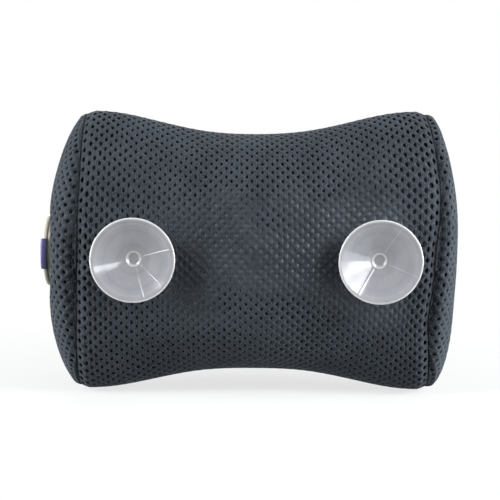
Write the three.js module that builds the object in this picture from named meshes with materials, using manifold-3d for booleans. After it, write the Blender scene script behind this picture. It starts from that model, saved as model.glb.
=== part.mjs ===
// Vibrating bath pillow: a bead-filled mesh cushion that hangs on two suction cups, with a
// battery massager in a pocket in its left end.
// Millimetres, +Z up. The origin lies midway between the two cups, on the wall that their rims
// grip. +X runs along the pillow, the cups face -Y and the bather leans on the +Y side.

import * as THREE from 'three';
import { mergeVertices } from 'three/addons/utils/BufferGeometryUtils.js';
import Module from 'manifold-3d';

const wasm = await Module();
wasm.setup();

// Clearances
const fit = 0.3; // between pieces that touch
const running = 0.4; // between pieces that slide or turn on each other

// Pillow
const seamHalfSpan = 119; // mid-length to either end seam
const waistHalfHeight = 82.8;
const endHalfHeight = 97.5;
const endHalfDepth = 44;
const waistDepthGain = 10; // the waist is rounder than the ends by this much
const drawInLength = 8; // stretch beside a seam where the thread pulls the cover in
const drawInDepth = 2;
const leftBulge = 21.5; // how far each end panel stands out from its seam
const rightBulge = 20.6;
const mouthRecess = 3; // the pocket's mouth lies this far inside the left panel's crown
const coverThickness = 1.4;
const seamAllowance = 5; // cloth turned in at a seam
const tapeThickness = 0.8;
const tapeReach = 2.4; // how far the binding tape laps a seam's turned-in edge
const linerThickness = 0.8;
const linerEndGap = 3.5; // slack between the liner and the right end panel
const pocketThickness = 0.8;
const openingHemWidth = 3.6; // flat ring of the left panel round the pocket's mouth
const openingTapeWidth = 2.7; // binding's lap on that ring

// Suction cups
const cupHalfSpacing = 80;
const cupRadius = 27.5;
const cupLipWidth = 1.6; // flat sealing ring
const cupRimThickness = 1.2;
const cupHollowDepth = 10;
const cupFlare = 1.3; // 1 would be a straight cone, 2 a round bowl
const cupCrownThickness = 2.6;
const cupHeight = 13.6; // rim to shoulder
const shoulderRadius = 5.5;
const neckRadius = 3.5;
const headRadius = 6.5;
const headHeight = 4.5;
const headRimHeight = 1.5; // straight edge of the head before it tapers

// Eyelets that carry the cups
const eyeletWall = 0.8;
const eyeletFlangeRadius = 7.5;
const eyeletRollWidth = 1;
const eyeletFlat = 4; // flat cloth beyond an eyelet's flange

// Massager housing
const housingRadius = 22;
const housingWall = 1.8;
const housingFlangeWidth = 2;
const housingFlangeThickness = 1.2;
const lugCount = 3;
const lugHeight = 2.5;
const lugReach = 2.2; // how far a bayonet lug stands in from the housing wall
const lugAngle = 14; // degrees round the axis
const capTwist = 40; // degrees from locked to free

// Cap
const capRadius = 24.5;
const capEdgeHeight = 3.2;
const capCrownRise = 2.4;
const capWall = 1.8;
const capSkirtWall = 3.8;
const capSkirtLength = 14.8;
const sealSection = 1.1; // radius of the rubber ring's section
const sealDrop = 4.6; // middle of the seal below the cap's seat
const lugDrop = 11.8; // middle of the lugs below the cap's seat
const gripThickness = 0.9; // bar across the cap and down its edge, to turn it by
const gripBridge = 1.3; // bar beside the button's hole

// Button and switch
const buttonRadius = 8.6;
const buttonCrownRise = 0.7;
const buttonProud = 0.3; // edge of the button above the grip bar
const buttonTravel = 1.5;
const buttonFlangeWidth = 2;
const buttonFlangeThickness = 1.4;
const buttonGasketThickness = 1;
const buttonStemRadius = 3;
const buttonStemLength = 4.5;
const guideWall = 1.2;
const switchWidth = 8;
const switchHeight = 6;
const plungerRadius = 1.8;
const plungerLength = 6;
const plungerProud = 2.7;

// Batteries and the frame that holds them
const batteryRadius = 7.25;
const batteryLength = 50.5;
const batteryNubRadius = 2.75;
const batteryNubHeight = 1;
const batteryRib = 0.9; // carrier wall between two batteries
const batteryCount = 3;
const carrierCoreRadius = 13;
const carrierDiscThickness = 2;
const carrierNeckRadius = 3.5;
const contactThickness = 0.5;
const contactRadius = 16.5;
const boardThickness = 1.6;

// Motor
const motorRadius = 12;
const motorLength = 31;
const motorBossRadius = 4;
const motorBossHeight = 2;
const motorShaftRadius = 1.2;
const motorShaftLength = 22;
const motorShaftProud = 11; // shaft beyond the boss
const motorSleeveWall = 2;
const motorSleeveLength = 24;
const motorRibCount = 4;
const motorRibWidth = 3;
const weightRadius = 11;
const weightLength = 7.5;
const weightHubRadius = 3.2;
const housingEndRoom = 1.5; // shaft tip to the housing's end wall

// Facets
const pillowSegments = 26; // two more than a multiple of four: an edge along the top, a flat at the back
const cupSegments = 30;
const eyeletSegments = 18;
const massagerSegments = 28;
const innerSegments = 18;
const sectorSegments = 4;
const sealSides = 6;

// Places worked out from the sizes
const halfFacet = Math.PI / pillowSegments;
const eyeletBore = neckRadius + running;
const eyeletBarrel = eyeletBore + eyeletWall;
const eyeletFace = cupHeight + fit;
const wrapBack = eyeletFace + eyeletWall + fit;
const pillowMiddle = wrapBack + endHalfDepth * Math.cos(halfFacet);
const washerFace = wrapBack + coverThickness + fit;
const eyeletEnd = washerFace + 2 * eyeletWall + fit;
const cupHeadFace = eyeletEnd + fit;
const cupEnd = cupHeadFace + headHeight;
const fullHeightReach = seamHalfSpan - drawInLength;
const flatReach = cupHalfSpacing - eyeletFlangeRadius - eyeletFlat;
const panelSeat = seamHalfSpan + fit;
const housingBore = housingRadius - housingWall;
const pocketBore = housingRadius + running;
const pocketRadius = pocketBore + pocketThickness;
const openingRadius = pocketBore + tapeThickness + running + fit;
const openingHemRadius = openingRadius + openingHemWidth;
const tapeRing = openingRadius + openingTapeWidth;
const leftFace = panelSeat + leftBulge - mouthRecess;

// Heights along the massager's axis, from the left panel's face outward
const tapeTop = fit + tapeThickness;
const tapeBottom = -coverThickness - fit - tapeThickness;
const pocketTop = tapeBottom - fit;
const flangeBase = tapeTop + fit;
const flangeTop = flangeBase + housingFlangeThickness;
const capSeat = flangeTop + fit;
const capEdge = capSeat + capEdgeHeight;
const skirtRadius = housingBore - running;
const skirtBore = skirtRadius - capSkirtWall;
const skirtEnd = capSeat - capSkirtLength;
const sealMiddle = capSeat - sealDrop;
const sealRadius = housingBore - running - sealSection;
const lugMiddle = capSeat - lugDrop;
const buttonHole = buttonRadius + running;
const buttonFlangeRadius = buttonRadius + buttonFlangeWidth;
const guideBore = buttonFlangeRadius + running;
const gripHalfWidth = buttonHole + gripBridge;
const gripReach = capRadius + fit + gripThickness;
const capCrown = (r) => capEdge + capCrownRise * (1 - (r / capRadius) ** 2);
const crownReaches = (reach) => [0, 0.35, 0.7, 1].map((s) => buttonHole + s * (reach - buttonHole));
const guideRoof = capCrown(guideBore) - capWall;
const gasketTop = guideRoof - fit;
const gasketBottom = gasketTop - buttonGasketThickness;
const buttonFlangeTop = gasketBottom - fit;
const buttonFlangeBottom = buttonFlangeTop - buttonFlangeThickness;
const buttonEdge = capCrown(buttonHole) + fit + gripThickness + buttonProud;
const guideEnd = buttonFlangeBottom - buttonTravel - fit;
const stemEnd = buttonFlangeBottom - buttonStemLength;
const plungerTop = stemEnd - fit;
const switchTop = plungerTop - plungerProud;
const boardTop = Math.min(switchTop - switchHeight, skirtEnd) - fit;
const switchBottom = boardTop + fit;
const carrierTop = boardTop - boardThickness - fit;
const outerContactTop = carrierTop - carrierDiscThickness - fit;
const batteryTop = outerContactTop - contactThickness - fit;
const batteryBottom = batteryTop - batteryLength;
const innerContactTop = batteryBottom - fit;
const innerDiscTop = innerContactTop - contactThickness - fit;
const carrierBottom = innerDiscTop - carrierDiscThickness;
const sleeveTop = carrierBottom - fit;
const motorTop = sleeveTop - motorBossHeight - fit;
const motorBottom = motorTop - motorLength;
const motorBossBottom = motorBottom - motorBossHeight;
const shaftEnd = motorBossBottom - motorShaftProud;
const shaftTop = shaftEnd + motorShaftLength;
const weightTop = motorBossBottom - 2 * running;
const housingFloor = shaftEnd - housingEndRoom;
const housingEnd = housingFloor - housingWall;
const pocketFloor = housingEnd - running;
const batteryCircle = (2 * batteryRadius + 2 * fit + batteryRib) / Math.sqrt(3);
const innerRadius = housingBore - fit; // pieces that line the housing

// Geometry helpers

const turn = 2 * Math.PI;

function signedVolume(position, faces) {
  const [a, b, c] = [new THREE.Vector3(), new THREE.Vector3(), new THREE.Vector3()];
  let volume = 0;
  for (let i = 0; i < faces.length; i += 3) {
    a.fromBufferAttribute(position, faces[i]);
    b.fromBufferAttribute(position, faces[i + 1]);
    c.fromBufferAttribute(position, faces[i + 2]);
    volume += a.dot(b.cross(c)) / 6;
  }
  return volume;
}

// One closed body: shared vertices merged, faces with no area dropped, the rest facing out.
function closed(geometry) {
  geometry.deleteAttribute('normal');
  geometry.deleteAttribute('uv');
  const whole = mergeVertices(geometry);
  const corners = whole.index.array;
  const faces = [];
  for (let i = 0; i < corners.length; i += 3) {
    const [a, b, c] = [corners[i], corners[i + 1], corners[i + 2]];
    if (a !== b && b !== c && c !== a) faces.push(a, b, c);
  }
  if (signedVolume(whole.attributes.position, faces) < 0) faces.reverse();
  whole.setIndex(faces);
  return whole;
}

function toSolid(geometry) {
  const vertProperties = new Float32Array(geometry.attributes.position.array);
  const triVerts = new Uint32Array(geometry.index.array);
  return new wasm.Manifold(new wasm.Mesh({ numProp: 3, vertProperties, triVerts }));
}

function toGeometry(solid) {
  const mesh = solid.getMesh();
  const geometry = new THREE.BufferGeometry();
  geometry.setAttribute('position', new THREE.BufferAttribute(mesh.vertProperties, 3));
  geometry.setIndex(new THREE.BufferAttribute(mesh.triVerts, 1));
  return geometry;
}

const cut = (body, ...tools) =>
  toGeometry(tools.reduce((left, tool) => left.subtract(toSolid(tool)), toSolid(body)));

const join = (body, ...others) =>
  toGeometry(others.reduce((whole, other) => whole.add(toSolid(other)), toSolid(body)));

// A profile of [radius, height] points turned about the Y axis. The points close on
// themselves, or run from axis to axis.
function turned(profile, segments) {
  const onAxis = profile[0][0] === 0;
  const points = (onAxis ? profile : [...profile, profile[0]]).map(([r, y]) => new THREE.Vector2(r, y));
  return closed(new THREE.LatheGeometry(points, segments));
}

const ring = (inner, outer, low, high, segments) =>
  turned([[inner, low], [outer, low], [outer, high], [inner, high]], segments);

const disc = (radius, low, high, segments) =>
  turned([[0, low], [radius, low], [radius, high], [0, high]], segments);

// An outline drawn in X and Z, extruded along Y from low to high.
function extruded(shape, low, high, curveSegments) {
  const depth = high - low;
  const geometry = new THREE.ExtrudeGeometry(shape, { depth, bevelEnabled: false, curveSegments });
  return closed(geometry.rotateX(Math.PI / 2).translate(0, high, 0));
}

// A block that spans part of a ring, by angles in degrees.
function ringSector(inner, outer, fromAngle, toAngle, low, high) {
  const [from, to] = [THREE.MathUtils.degToRad(fromAngle), THREE.MathUtils.degToRad(toAngle)];
  const shape = new THREE.Shape();
  shape.absarc(0, 0, outer, from, to, false);
  shape.absarc(0, 0, inner, to, from, true);
  return extruded(shape, low, high, sectorSegments);
}

// Oval sections [x, half depth, half height] joined into a skin round the X axis. A section
// of no size is a pole; rings without poles close on themselves. Every four-sided patch is
// split along the same diagonal, whichever way the sections run, so that nested skins stay apart.
function loft(sections) {
  const hasPoles = sections[0][1] === 0;
  const position = [];
  for (const [x, halfDepth, halfHeight] of sections) {
    for (let k = 0; k < pillowSegments; k += 1) {
      const angle = (2 * k + 1) * halfFacet;
      position.push(x, halfDepth * Math.cos(angle), halfHeight * Math.sin(angle));
    }
  }
  const index = [];
  const last = hasPoles ? sections.length - 1 : sections.length;
  for (let i = 0; i < last; i += 1) {
    const next = (i + 1) % sections.length;
    const rightward = sections[next][0] > sections[i][0];
    for (let k = 0; k < pillowSegments; k += 1) {
      const beside = (k + 1) % pillowSegments;
      const [a, b] = [i * pillowSegments + k, i * pillowSegments + beside];
      const [c, d] = [next * pillowSegments + k, next * pillowSegments + beside];
      index.push(...(rightward ? [a, c, b, b, c, d] : [a, c, d, a, d, b]));
    }
  }
  const geometry = new THREE.BufferGeometry();
  geometry.setAttribute('position', new THREE.Float32BufferAttribute(position, 3));
  geometry.setIndex(index);
  return closed(geometry);
}

// Scene graph

const part = new THREE.Group();
const pillow = new THREE.Group();
pillow.position.set(0, pillowMiddle, 0);
const massager = new THREE.Group();
massager.position.set(-leftFace, 0, 0);
massager.rotation.z = Math.PI / 2;
pillow.add(massager);
part.add(pillow);

function add(group, name, geometry, finish) {
  const mesh = new THREE.Mesh(geometry, finish);
  mesh.name = name;
  group.add(mesh);
  return mesh;
}

const finish = (color, roughness, metalness = 0) =>
  new THREE.MeshStandardMaterial({ color, roughness, metalness });

const finishes = {
  mesh: finish(0x3a3f45, 0.95),
  tape: finish(0x2b2f34, 0.9),
  liner: finish(0x6b6f75, 0.35),
  beads: finish(0xeceae4, 0.8),
  clearVinyl: finish(0xc9cbd2, 0.15),
  eyelet: finish(0x33373c, 0.5),
  cream: finish(0xece6d8, 0.35),
  violet: finish(0x4d4a9a, 0.4),
  seal: finish(0x202224, 0.7),
  blackPlastic: finish(0x1d1f22, 0.5),
  battery: finish(0xa7adb3, 0.35, 0.8),
  contact: finish(0xc9b26a, 0.35, 1),
  board: finish(0x2f5a40, 0.6),
  steel: finish(0xb8bcc0, 0.35, 1),
  brass: finish(0xb08d48, 0.4, 1),
};

// Pillow form: half height and half depth of the cover at a distance along X

const ease = (t) => Math.sin((Math.PI / 2) * Math.min(t, 1)) ** 2;
const waistSharpness = 1.29;

function coverSection(x, inset) {
  const reach = Math.abs(x);
  const drawn = drawInDepth * Math.max(0, (reach - fullHeightReach) / drawInLength) ** 2;
  const rise = ease((reach / fullHeightReach) ** waistSharpness);
  const halfHeight = waistHalfHeight + (endHalfHeight - waistHalfHeight) * rise;
  const halfDepth = endHalfDepth + waistDepthGain * (1 - ease(reach / flatReach));
  return [x, halfDepth - drawn - inset, halfHeight - drawn - inset];
}

const [, seamHalfDepth, seamHalfHeight] = coverSection(seamHalfSpan, 0);

// Distances from mid-length to the sections of the wrap, on the right half
const waistSteps = 3;
const flankSteps = 2;
const wrapReaches = [
  ...Array.from({ length: waistSteps }, (_, i) => (flatReach * (i + 1)) / waistSteps),
  ...Array.from({ length: flankSteps }, (_, i) =>
    THREE.MathUtils.lerp(flatReach, fullHeightReach, (i + 1) / flankSteps)),
];
const bothWays = (reaches) => [...reaches.map((x) => -x).reverse(), 0, ...reaches];

// An end panel's dome: sections from its crown ring out to the seam oval
const leftDomePower = 0.7;
const rightDomePower = 0.45;
const domeSteps = [0.2, 0.4, 0.6, 0.78, 0.91, 1];

function dome(side, base, rise, crownRadius, inset, steps) {
  const power = side < 0 ? leftDomePower : rightDomePower;
  return steps.map((s) => [
    side * (base + rise * (1 - s * s) ** power),
    (1 - s) * crownRadius + s * (seamHalfDepth - inset),
    (1 - s) * crownRadius + s * (seamHalfHeight - inset),
  ]);
}

// Cover

function meshWrap() {
  const turnedIn = (x) => [x, seamHalfDepth - seamAllowance, seamHalfHeight - seamAllowance];
  const innerEnd = seamHalfSpan - coverThickness;
  const outside = bothWays([...wrapReaches, seamHalfSpan]).map((x) => coverSection(x, 0));
  const inside = bothWays([...wrapReaches, innerEnd]).map((x) => coverSection(x, coverThickness));
  const tube = loft([
    ...outside,
    turnedIn(seamHalfSpan),
    turnedIn(innerEnd),
    ...inside.reverse(),
    turnedIn(-innerEnd),
    turnedIn(-seamHalfSpan),
  ]);
  const hole = disc(eyeletBarrel + fit, -pillowMiddle, 0, eyeletSegments);
  return cut(tube, ...[-1, 1].map((side) => hole.clone().translate(side * cupHalfSpacing, 0, 0)));
}

// The allowance that a panel turns in beside the wrap's
function panelHem(side) {
  const edge = [seamHalfDepth - seamAllowance, seamHalfHeight - seamAllowance];
  return [
    [side * panelSeat, ...edge],
    [side * (panelSeat + coverThickness), ...edge],
  ];
}

function rightEndPanel() {
  const innerRise = rightBulge - 2 * coverThickness;
  return loft([
    [panelSeat + rightBulge, 0, 0],
    ...dome(1, panelSeat, rightBulge, 0, 0, domeSteps),
    ...panelHem(1),
    ...dome(1, panelSeat + coverThickness, innerRise, 0, coverThickness, domeSteps).reverse(),
    [panelSeat + rightBulge - coverThickness, 0, 0],
  ]);
}

function leftEndPanel() {
  const innerRise = leftBulge - 2 * coverThickness;
  const mouth = (x) => [-x, openingRadius, openingRadius];
  const hem = (x) => [-x, openingHemRadius, openingHemRadius];
  return loft([
    mouth(leftFace),
    hem(leftFace),
    ...dome(-1, panelSeat, leftBulge, openingHemRadius, 0, domeSteps),
    ...panelHem(-1),
    ...dome(-1, panelSeat + coverThickness, innerRise, openingHemRadius, coverThickness, domeSteps).reverse(),
    hem(leftFace - coverThickness),
    mouth(leftFace - coverThickness),
  ]);
}

// Tape folded over the two turned-in edges of an end seam
function seamBinding(side) {
  const at = (x, inset) => [side * x, seamHalfDepth - inset, seamHalfHeight - inset];
  const near = seamHalfSpan - coverThickness - fit;
  const far = panelSeat + coverThickness + fit;
  const open = seamAllowance - tapeReach;
  const web = seamAllowance + fit;
  return loft([
    at(near - tapeThickness, open),
    at(near, open),
    at(near, web),
    at(far, web),
    at(far, open),
    at(far + tapeThickness, open),
    at(far + tapeThickness, web + tapeThickness),
    at(near - tapeThickness, web + tapeThickness),
  ]);
}

add(pillow, 'mesh_wrap', meshWrap(), finishes.mesh);
add(pillow, 'left_end_panel', leftEndPanel(), finishes.mesh);
add(pillow, 'right_end_panel', rightEndPanel(), finishes.mesh);
add(pillow, 'left_seam_binding', seamBinding(-1), finishes.tape);
add(pillow, 'right_seam_binding', seamBinding(1), finishes.tape);

// Pocket for the massager, with the tape that binds its mouth to the left panel

function pocketBinding() {
  const inner = openingRadius - fit - tapeThickness;
  return turned([
    [inner, tapeBottom],
    [tapeRing, tapeBottom],
    [tapeRing, tapeBottom + tapeThickness],
    [inner + tapeThickness, tapeBottom + tapeThickness],
    [inner + tapeThickness, tapeTop - tapeThickness],
    [tapeRing, tapeTop - tapeThickness],
    [tapeRing, tapeTop],
    [inner, tapeTop],
  ], massagerSegments);
}

function massagerPocket() {
  const flangeBottom = pocketTop - pocketThickness;
  return turned([
    [0, pocketFloor],
    [pocketBore, pocketFloor],
    [pocketBore, pocketTop],
    [tapeRing, pocketTop],
    [tapeRing, flangeBottom],
    [pocketRadius, flangeBottom],
    [pocketRadius, pocketFloor - pocketThickness],
    [0, pocketFloor - pocketThickness],
  ], massagerSegments);
}

add(massager, 'pocket_binding', pocketBinding(), finishes.tape);
add(massager, 'massager_pocket', massagerPocket(), finishes.tape);

// Bead liner and its filling, which share one form. Both are drawn in beside the seams to
// clear the binding, and dimpled behind the heads of the cups.

const linerInset = coverThickness + fit;
const grooveInset = seamAllowance + fit + tapeThickness + fit;
const grooveHalfWidth = coverThickness + 2 * fit + tapeThickness + fit;
const linerMouth = leftFace + pocketTop - pocketThickness - 2 * linerThickness;
const linerTip = panelSeat + rightBulge - coverThickness - linerEndGap;
const linerDomeSteps = [0.6, 1];
const linerReaches = wrapReaches.slice(0, -1);

function fillingForm(inset) {
  const base = seamHalfSpan + grooveHalfWidth;
  const groove = (x) => [x, seamHalfDepth - grooveInset - inset, seamHalfHeight - grooveInset - inset];
  const leftRise = linerMouth - inset - base;
  const rightRise = linerTip - inset - base;
  const depth = grooveInset + inset;
  const neck = pocketRadius + fit;
  return loft([
    [inset - linerMouth, 0, 0],
    [inset - linerMouth, neck, neck],
    ...dome(-1, base, leftRise, neck, depth, linerDomeSteps),
    groove(grooveHalfWidth - seamHalfSpan),
    ...bothWays(linerReaches).map((x) => coverSection(x, linerInset + inset)),
    groove(seamHalfSpan - grooveHalfWidth),
    ...dome(1, base, rightRise, 0, depth, linerDomeSteps).reverse(),
    [linerTip - inset, 0, 0],
  ]);
}

// Round recesses behind the cups' heads, grown by the layers that line them
function headDimples(layer) {
  const floor = cupEnd + fit + layer - pillowMiddle;
  const dimple = disc(eyeletFlangeRadius + fit + layer, -pillowMiddle, floor, eyeletSegments);
  return [-1, 1].map((side) => dimple.clone().translate(side * cupHalfSpacing, 0, 0));
}

// Along the pillow's axis, from the left panel's face inward by the given depth
const pocketRecess = (radius, depth) =>
  disc(radius, -depth, fit, massagerSegments).rotateZ(Math.PI / 2).translate(-leftFace, 0, 0);

const linerSkin = cut(fillingForm(0), ...headDimples(0));
const linerCavity = cut(fillingForm(linerThickness), ...headDimples(linerThickness));
const linerNeck = pocketRecess(pocketRadius + fit, leftFace - seamHalfSpan);
add(pillow, 'bead_liner', cut(linerSkin, linerCavity, linerNeck), finishes.liner);

const beadInset = linerThickness + fit;
const beadRecess = pocketRecess(pocketRadius + fit, pocketThickness + fit - pocketFloor);
const beads = cut(fillingForm(beadInset), ...headDimples(beadInset), beadRecess);
add(pillow, 'bead_filling', beads, finishes.beads);

// Suction cups and the eyelets that they turn in

function suctionCup() {
  const hollow = (r) => cupHollowDepth * (1 - (r / (cupRadius - cupLipWidth)) ** cupFlare);
  const wall = (r) => cupCrownThickness + (cupRimThickness - cupCrownThickness) * (r / cupRadius);
  const steps = [1, 0.84, 0.66, 0.46, 0.24, 0];
  const inside = steps.map((s) => s * (cupRadius - cupLipWidth)).map((r) => [r, hollow(r)]);
  const backSteps = [0.25, 0.5, 0.75];
  const back = backSteps.map((s) => {
    const r = shoulderRadius + s * (cupRadius - shoulderRadius);
    return [r, hollow(r) + wall(r)];
  });
  return turned([
    ...inside.reverse(),
    [cupRadius, 0],
    [cupRadius, cupRimThickness],
    ...back.reverse(),
    [shoulderRadius, hollow(shoulderRadius) + wall(shoulderRadius)],
    [shoulderRadius, cupHeight],
    [neckRadius, cupHeight],
    [neckRadius, cupHeadFace],
    [headRadius, cupHeadFace],
    [headRadius, cupHeadFace + headRimHeight],
    [neckRadius, cupEnd],
    [0, cupEnd],
  ], cupSegments);
}

// The inner end is rolled over the washer
function eyelet() {
  return turned([
    [eyeletBore, eyeletFace],
    [eyeletFlangeRadius, eyeletFace],
    [eyeletFlangeRadius, eyeletFace + eyeletWall],
    [eyeletBarrel, eyeletFace + eyeletWall],
    [eyeletBarrel, eyeletEnd - eyeletWall],
    [eyeletBarrel + eyeletRollWidth, eyeletEnd - eyeletWall],
    [eyeletBarrel + eyeletRollWidth, eyeletEnd],
    [eyeletBore, eyeletEnd],
  ], eyeletSegments);
}

const washer = () =>
  ring(eyeletBarrel + fit, eyeletFlangeRadius, washerFace, washerFace + eyeletWall, eyeletSegments);

for (const [side, place] of [['left', -cupHalfSpacing], ['right', cupHalfSpacing]]) {
  const hanger = new THREE.Group();
  hanger.position.x = place;
  part.add(hanger);
  add(hanger, `suction_cup_${side}`, suctionCup(), finishes.clearVinyl);
  add(hanger, `eyelet_${side}`, eyelet(), finishes.eyelet);
  add(hanger, `eyelet_washer_${side}`, washer(), finishes.eyelet);
}

// Massager housing: a deep round can with a seating flange and bayonet lugs inside its mouth

const lugMiddles = Array.from({ length: lugCount }, (_, i) => (360 / lugCount) * i);

function massagerHousing() {
  const can = turned([
    [0, housingFloor],
    [housingBore, housingFloor],
    [housingBore, flangeTop],
    [housingRadius + housingFlangeWidth, flangeTop],
    [housingRadius + housingFlangeWidth, flangeBase],
    [housingRadius, flangeBase],
    [housingRadius, housingEnd + housingWall],
    [housingRadius - housingWall, housingEnd],
    [0, housingEnd],
  ], massagerSegments);
  const lugs = lugMiddles.map((middle) => ringSector(
    housingBore - lugReach,
    housingRadius - housingWall / 2,
    middle - lugAngle / 2,
    middle + lugAngle / 2,
    lugMiddle - lugHeight / 2,
    lugMiddle + lugHeight / 2,
  ));
  return join(can, ...lugs);
}

// Cap: a shallow dome over a skirt that carries the seal and the bayonet grooves. A groove
// lets a lug in from the skirt's end, then runs round to where the cap locks.
function endCap() {
  const crown = crownReaches(capRadius).map((r) => [r, capCrown(r)]);
  const sealGroove = sealRadius - sealSection - fit;
  const sealHalfWidth = sealSection + fit;
  const shell = turned([
    ...crown,
    [capRadius, capSeat],
    [skirtRadius, capSeat],
    [skirtRadius, sealMiddle + sealHalfWidth],
    [sealGroove, sealMiddle + sealHalfWidth],
    [sealGroove, sealMiddle - sealHalfWidth],
    [skirtRadius, sealMiddle - sealHalfWidth],
    [skirtRadius, skirtEnd],
    [skirtBore, skirtEnd],
    [skirtBore, guideRoof],
    [guideBore + guideWall, guideRoof],
    [guideBore + guideWall, guideEnd],
    [guideBore, guideEnd],
    [guideBore, guideRoof],
    [buttonHole, guideRoof],
  ], massagerSegments);
  const slack = THREE.MathUtils.radToDeg(running / (housingBore - lugReach));
  const low = lugMiddle - lugHeight / 2 - running;
  const high = lugMiddle + lugHeight / 2 + running;
  const floor = housingBore - lugReach - running;
  const past = housingRadius;
  const half = lugAngle / 2 + slack;
  const grooves = lugMiddles.flatMap((middle) => [
    ringSector(floor, past, middle - half, middle + capTwist + half, low, high),
    ringSector(floor, past, middle + capTwist - half, middle + capTwist + half, skirtEnd - fit, low + fit),
  ]);
  return cut(shell, ...grooves);
}

// Grip bar: a strip of the cap's dome and edge, lifted clear of them, with the button's hole in its middle.
function gripBar() {
  const under = crownReaches(capRadius).map((r) => [r, capCrown(r) + fit]);
  const over = under.map(([r, y]) => [r, y + gripThickness]);
  const shell = turned([
    ...over,
    [gripReach, capEdge + fit],
    [gripReach, capSeat + fit],
    [capRadius + fit, capSeat + fit],
    [capRadius + fit, capEdge],
    ...under.reverse(),
  ], massagerSegments);
  const beside = new THREE.Shape();
  beside.moveTo(-gripReach, gripHalfWidth).lineTo(gripReach, gripHalfWidth);
  beside.lineTo(gripReach, gripReach).lineTo(-gripReach, gripReach).closePath();
  const trim = extruded(beside, capSeat, buttonEdge, 1);
  return cut(shell, trim, trim.clone().rotateY(Math.PI));
}

function sealRing() {
  const section = Array.from({ length: sealSides }, (_, i) => (turn * (i + 0.5)) / sealSides).map((angle) => [
    sealRadius + sealSection * Math.cos(angle),
    sealMiddle + sealSection * Math.sin(angle),
  ]);
  return turned(section, massagerSegments);
}

add(massager, 'massager_housing', massagerHousing(), finishes.cream);
add(massager, 'end_cap', endCap(), finishes.cream);
add(massager, 'cap_grip_bar', gripBar(), finishes.violet);
add(massager, 'cap_seal_ring', sealRing(), finishes.seal);

// Push button, its gasket and the switch below it

function pushButton() {
  const crownHeight = (s) => buttonEdge + buttonCrownRise * Math.sqrt(1 - s * s);
  const crown = [0.9, 0.5, 0].map((s) => [s * buttonRadius, crownHeight(s)]);
  return turned([
    [0, stemEnd],
    [buttonStemRadius, stemEnd],
    [buttonStemRadius, buttonFlangeBottom],
    [buttonFlangeRadius, buttonFlangeBottom],
    [buttonFlangeRadius, buttonFlangeTop],
    [buttonRadius, buttonFlangeTop],
    [buttonRadius, buttonEdge],
    ...crown,
  ], massagerSegments);
}

function switchBody() {
  const half = switchWidth / 2;
  const outline = new THREE.Shape();
  outline.moveTo(-half, -half).lineTo(half, -half).lineTo(half, half).lineTo(-half, half).closePath();
  const body = extruded(outline, switchBottom, switchTop, 1);
  const boreFloor = plungerTop - plungerLength - buttonTravel - running;
  return cut(body, disc(plungerRadius + running, boreFloor, switchTop + fit, innerSegments));
}

const buttonGasket = ring(buttonHole, buttonFlangeRadius, gasketBottom, gasketTop, massagerSegments);
const switchPlunger = disc(plungerRadius, plungerTop - plungerLength, plungerTop, innerSegments);
const circuitBoard = disc(innerRadius, boardTop - boardThickness, boardTop, massagerSegments);

add(massager, 'push_button', pushButton(), finishes.violet);
add(massager, 'button_gasket', buttonGasket, finishes.seal);
add(massager, 'switch_body', switchBody(), finishes.blackPlastic);
add(massager, 'switch_plunger', switchPlunger, finishes.violet);
add(massager, 'circuit_board', circuitBoard, finishes.board);

// Batteries in a fluted carrier, between two contact plates

const batteryPlaces = Array.from({ length: batteryCount }, (_, i) => i);
const aroundAxis = (geometry, i) =>
  geometry.translate(0, 0, batteryCircle).rotateY((turn * i) / batteryCount);

function battery() {
  return turned([
    [0, batteryBottom],
    [batteryRadius, batteryBottom],
    [batteryRadius, batteryTop - batteryNubHeight],
    [batteryNubRadius, batteryTop - batteryNubHeight],
    [batteryNubRadius, batteryTop],
    [0, batteryTop],
  ], innerSegments);
}

function batteryCarrier() {
  const spool = turned([
    [0, carrierBottom],
    [innerRadius, carrierBottom],
    [innerRadius, innerDiscTop],
    [carrierNeckRadius, innerDiscTop],
    [carrierNeckRadius, batteryBottom],
    [carrierCoreRadius, batteryBottom],
    [carrierCoreRadius, batteryTop],
    [carrierNeckRadius, batteryTop],
    [carrierNeckRadius, carrierTop - carrierDiscThickness],
    [innerRadius, carrierTop - carrierDiscThickness],
    [innerRadius, carrierTop],
    [0, carrierTop],
  ], massagerSegments);
  const flute = disc(batteryRadius + fit, batteryBottom, batteryTop, innerSegments);
  return cut(spool, ...batteryPlaces.map((i) => aroundAxis(flute.clone(), i)));
}

const contactPlate = (top) =>
  ring(carrierNeckRadius + fit, contactRadius, top - contactThickness, top, innerSegments);

add(massager, 'battery_carrier', batteryCarrier(), finishes.blackPlastic);
add(massager, 'outer_contact_plate', contactPlate(outerContactTop), finishes.contact);
add(massager, 'inner_contact_plate', contactPlate(innerContactTop), finishes.contact);
for (const i of batteryPlaces) {
  add(massager, `battery_${i + 1}`, aroundAxis(battery(), i), finishes.battery);
}

// Motor in its ribbed sleeve, and the off-centre weight that shakes the pillow

function motor() {
  return turned([
    [0, motorTop + motorBossHeight],
    [motorBossRadius, motorTop + motorBossHeight],
    [motorBossRadius, motorTop],
    [motorRadius, motorTop],
    [motorRadius, motorBottom],
    [motorBossRadius, motorBottom],
    [motorBossRadius, motorBossBottom],
    [motorShaftRadius + running, motorBossBottom],
    [motorShaftRadius + running, shaftTop + running],
    [0, shaftTop + running],
  ], innerSegments);
}

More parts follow.
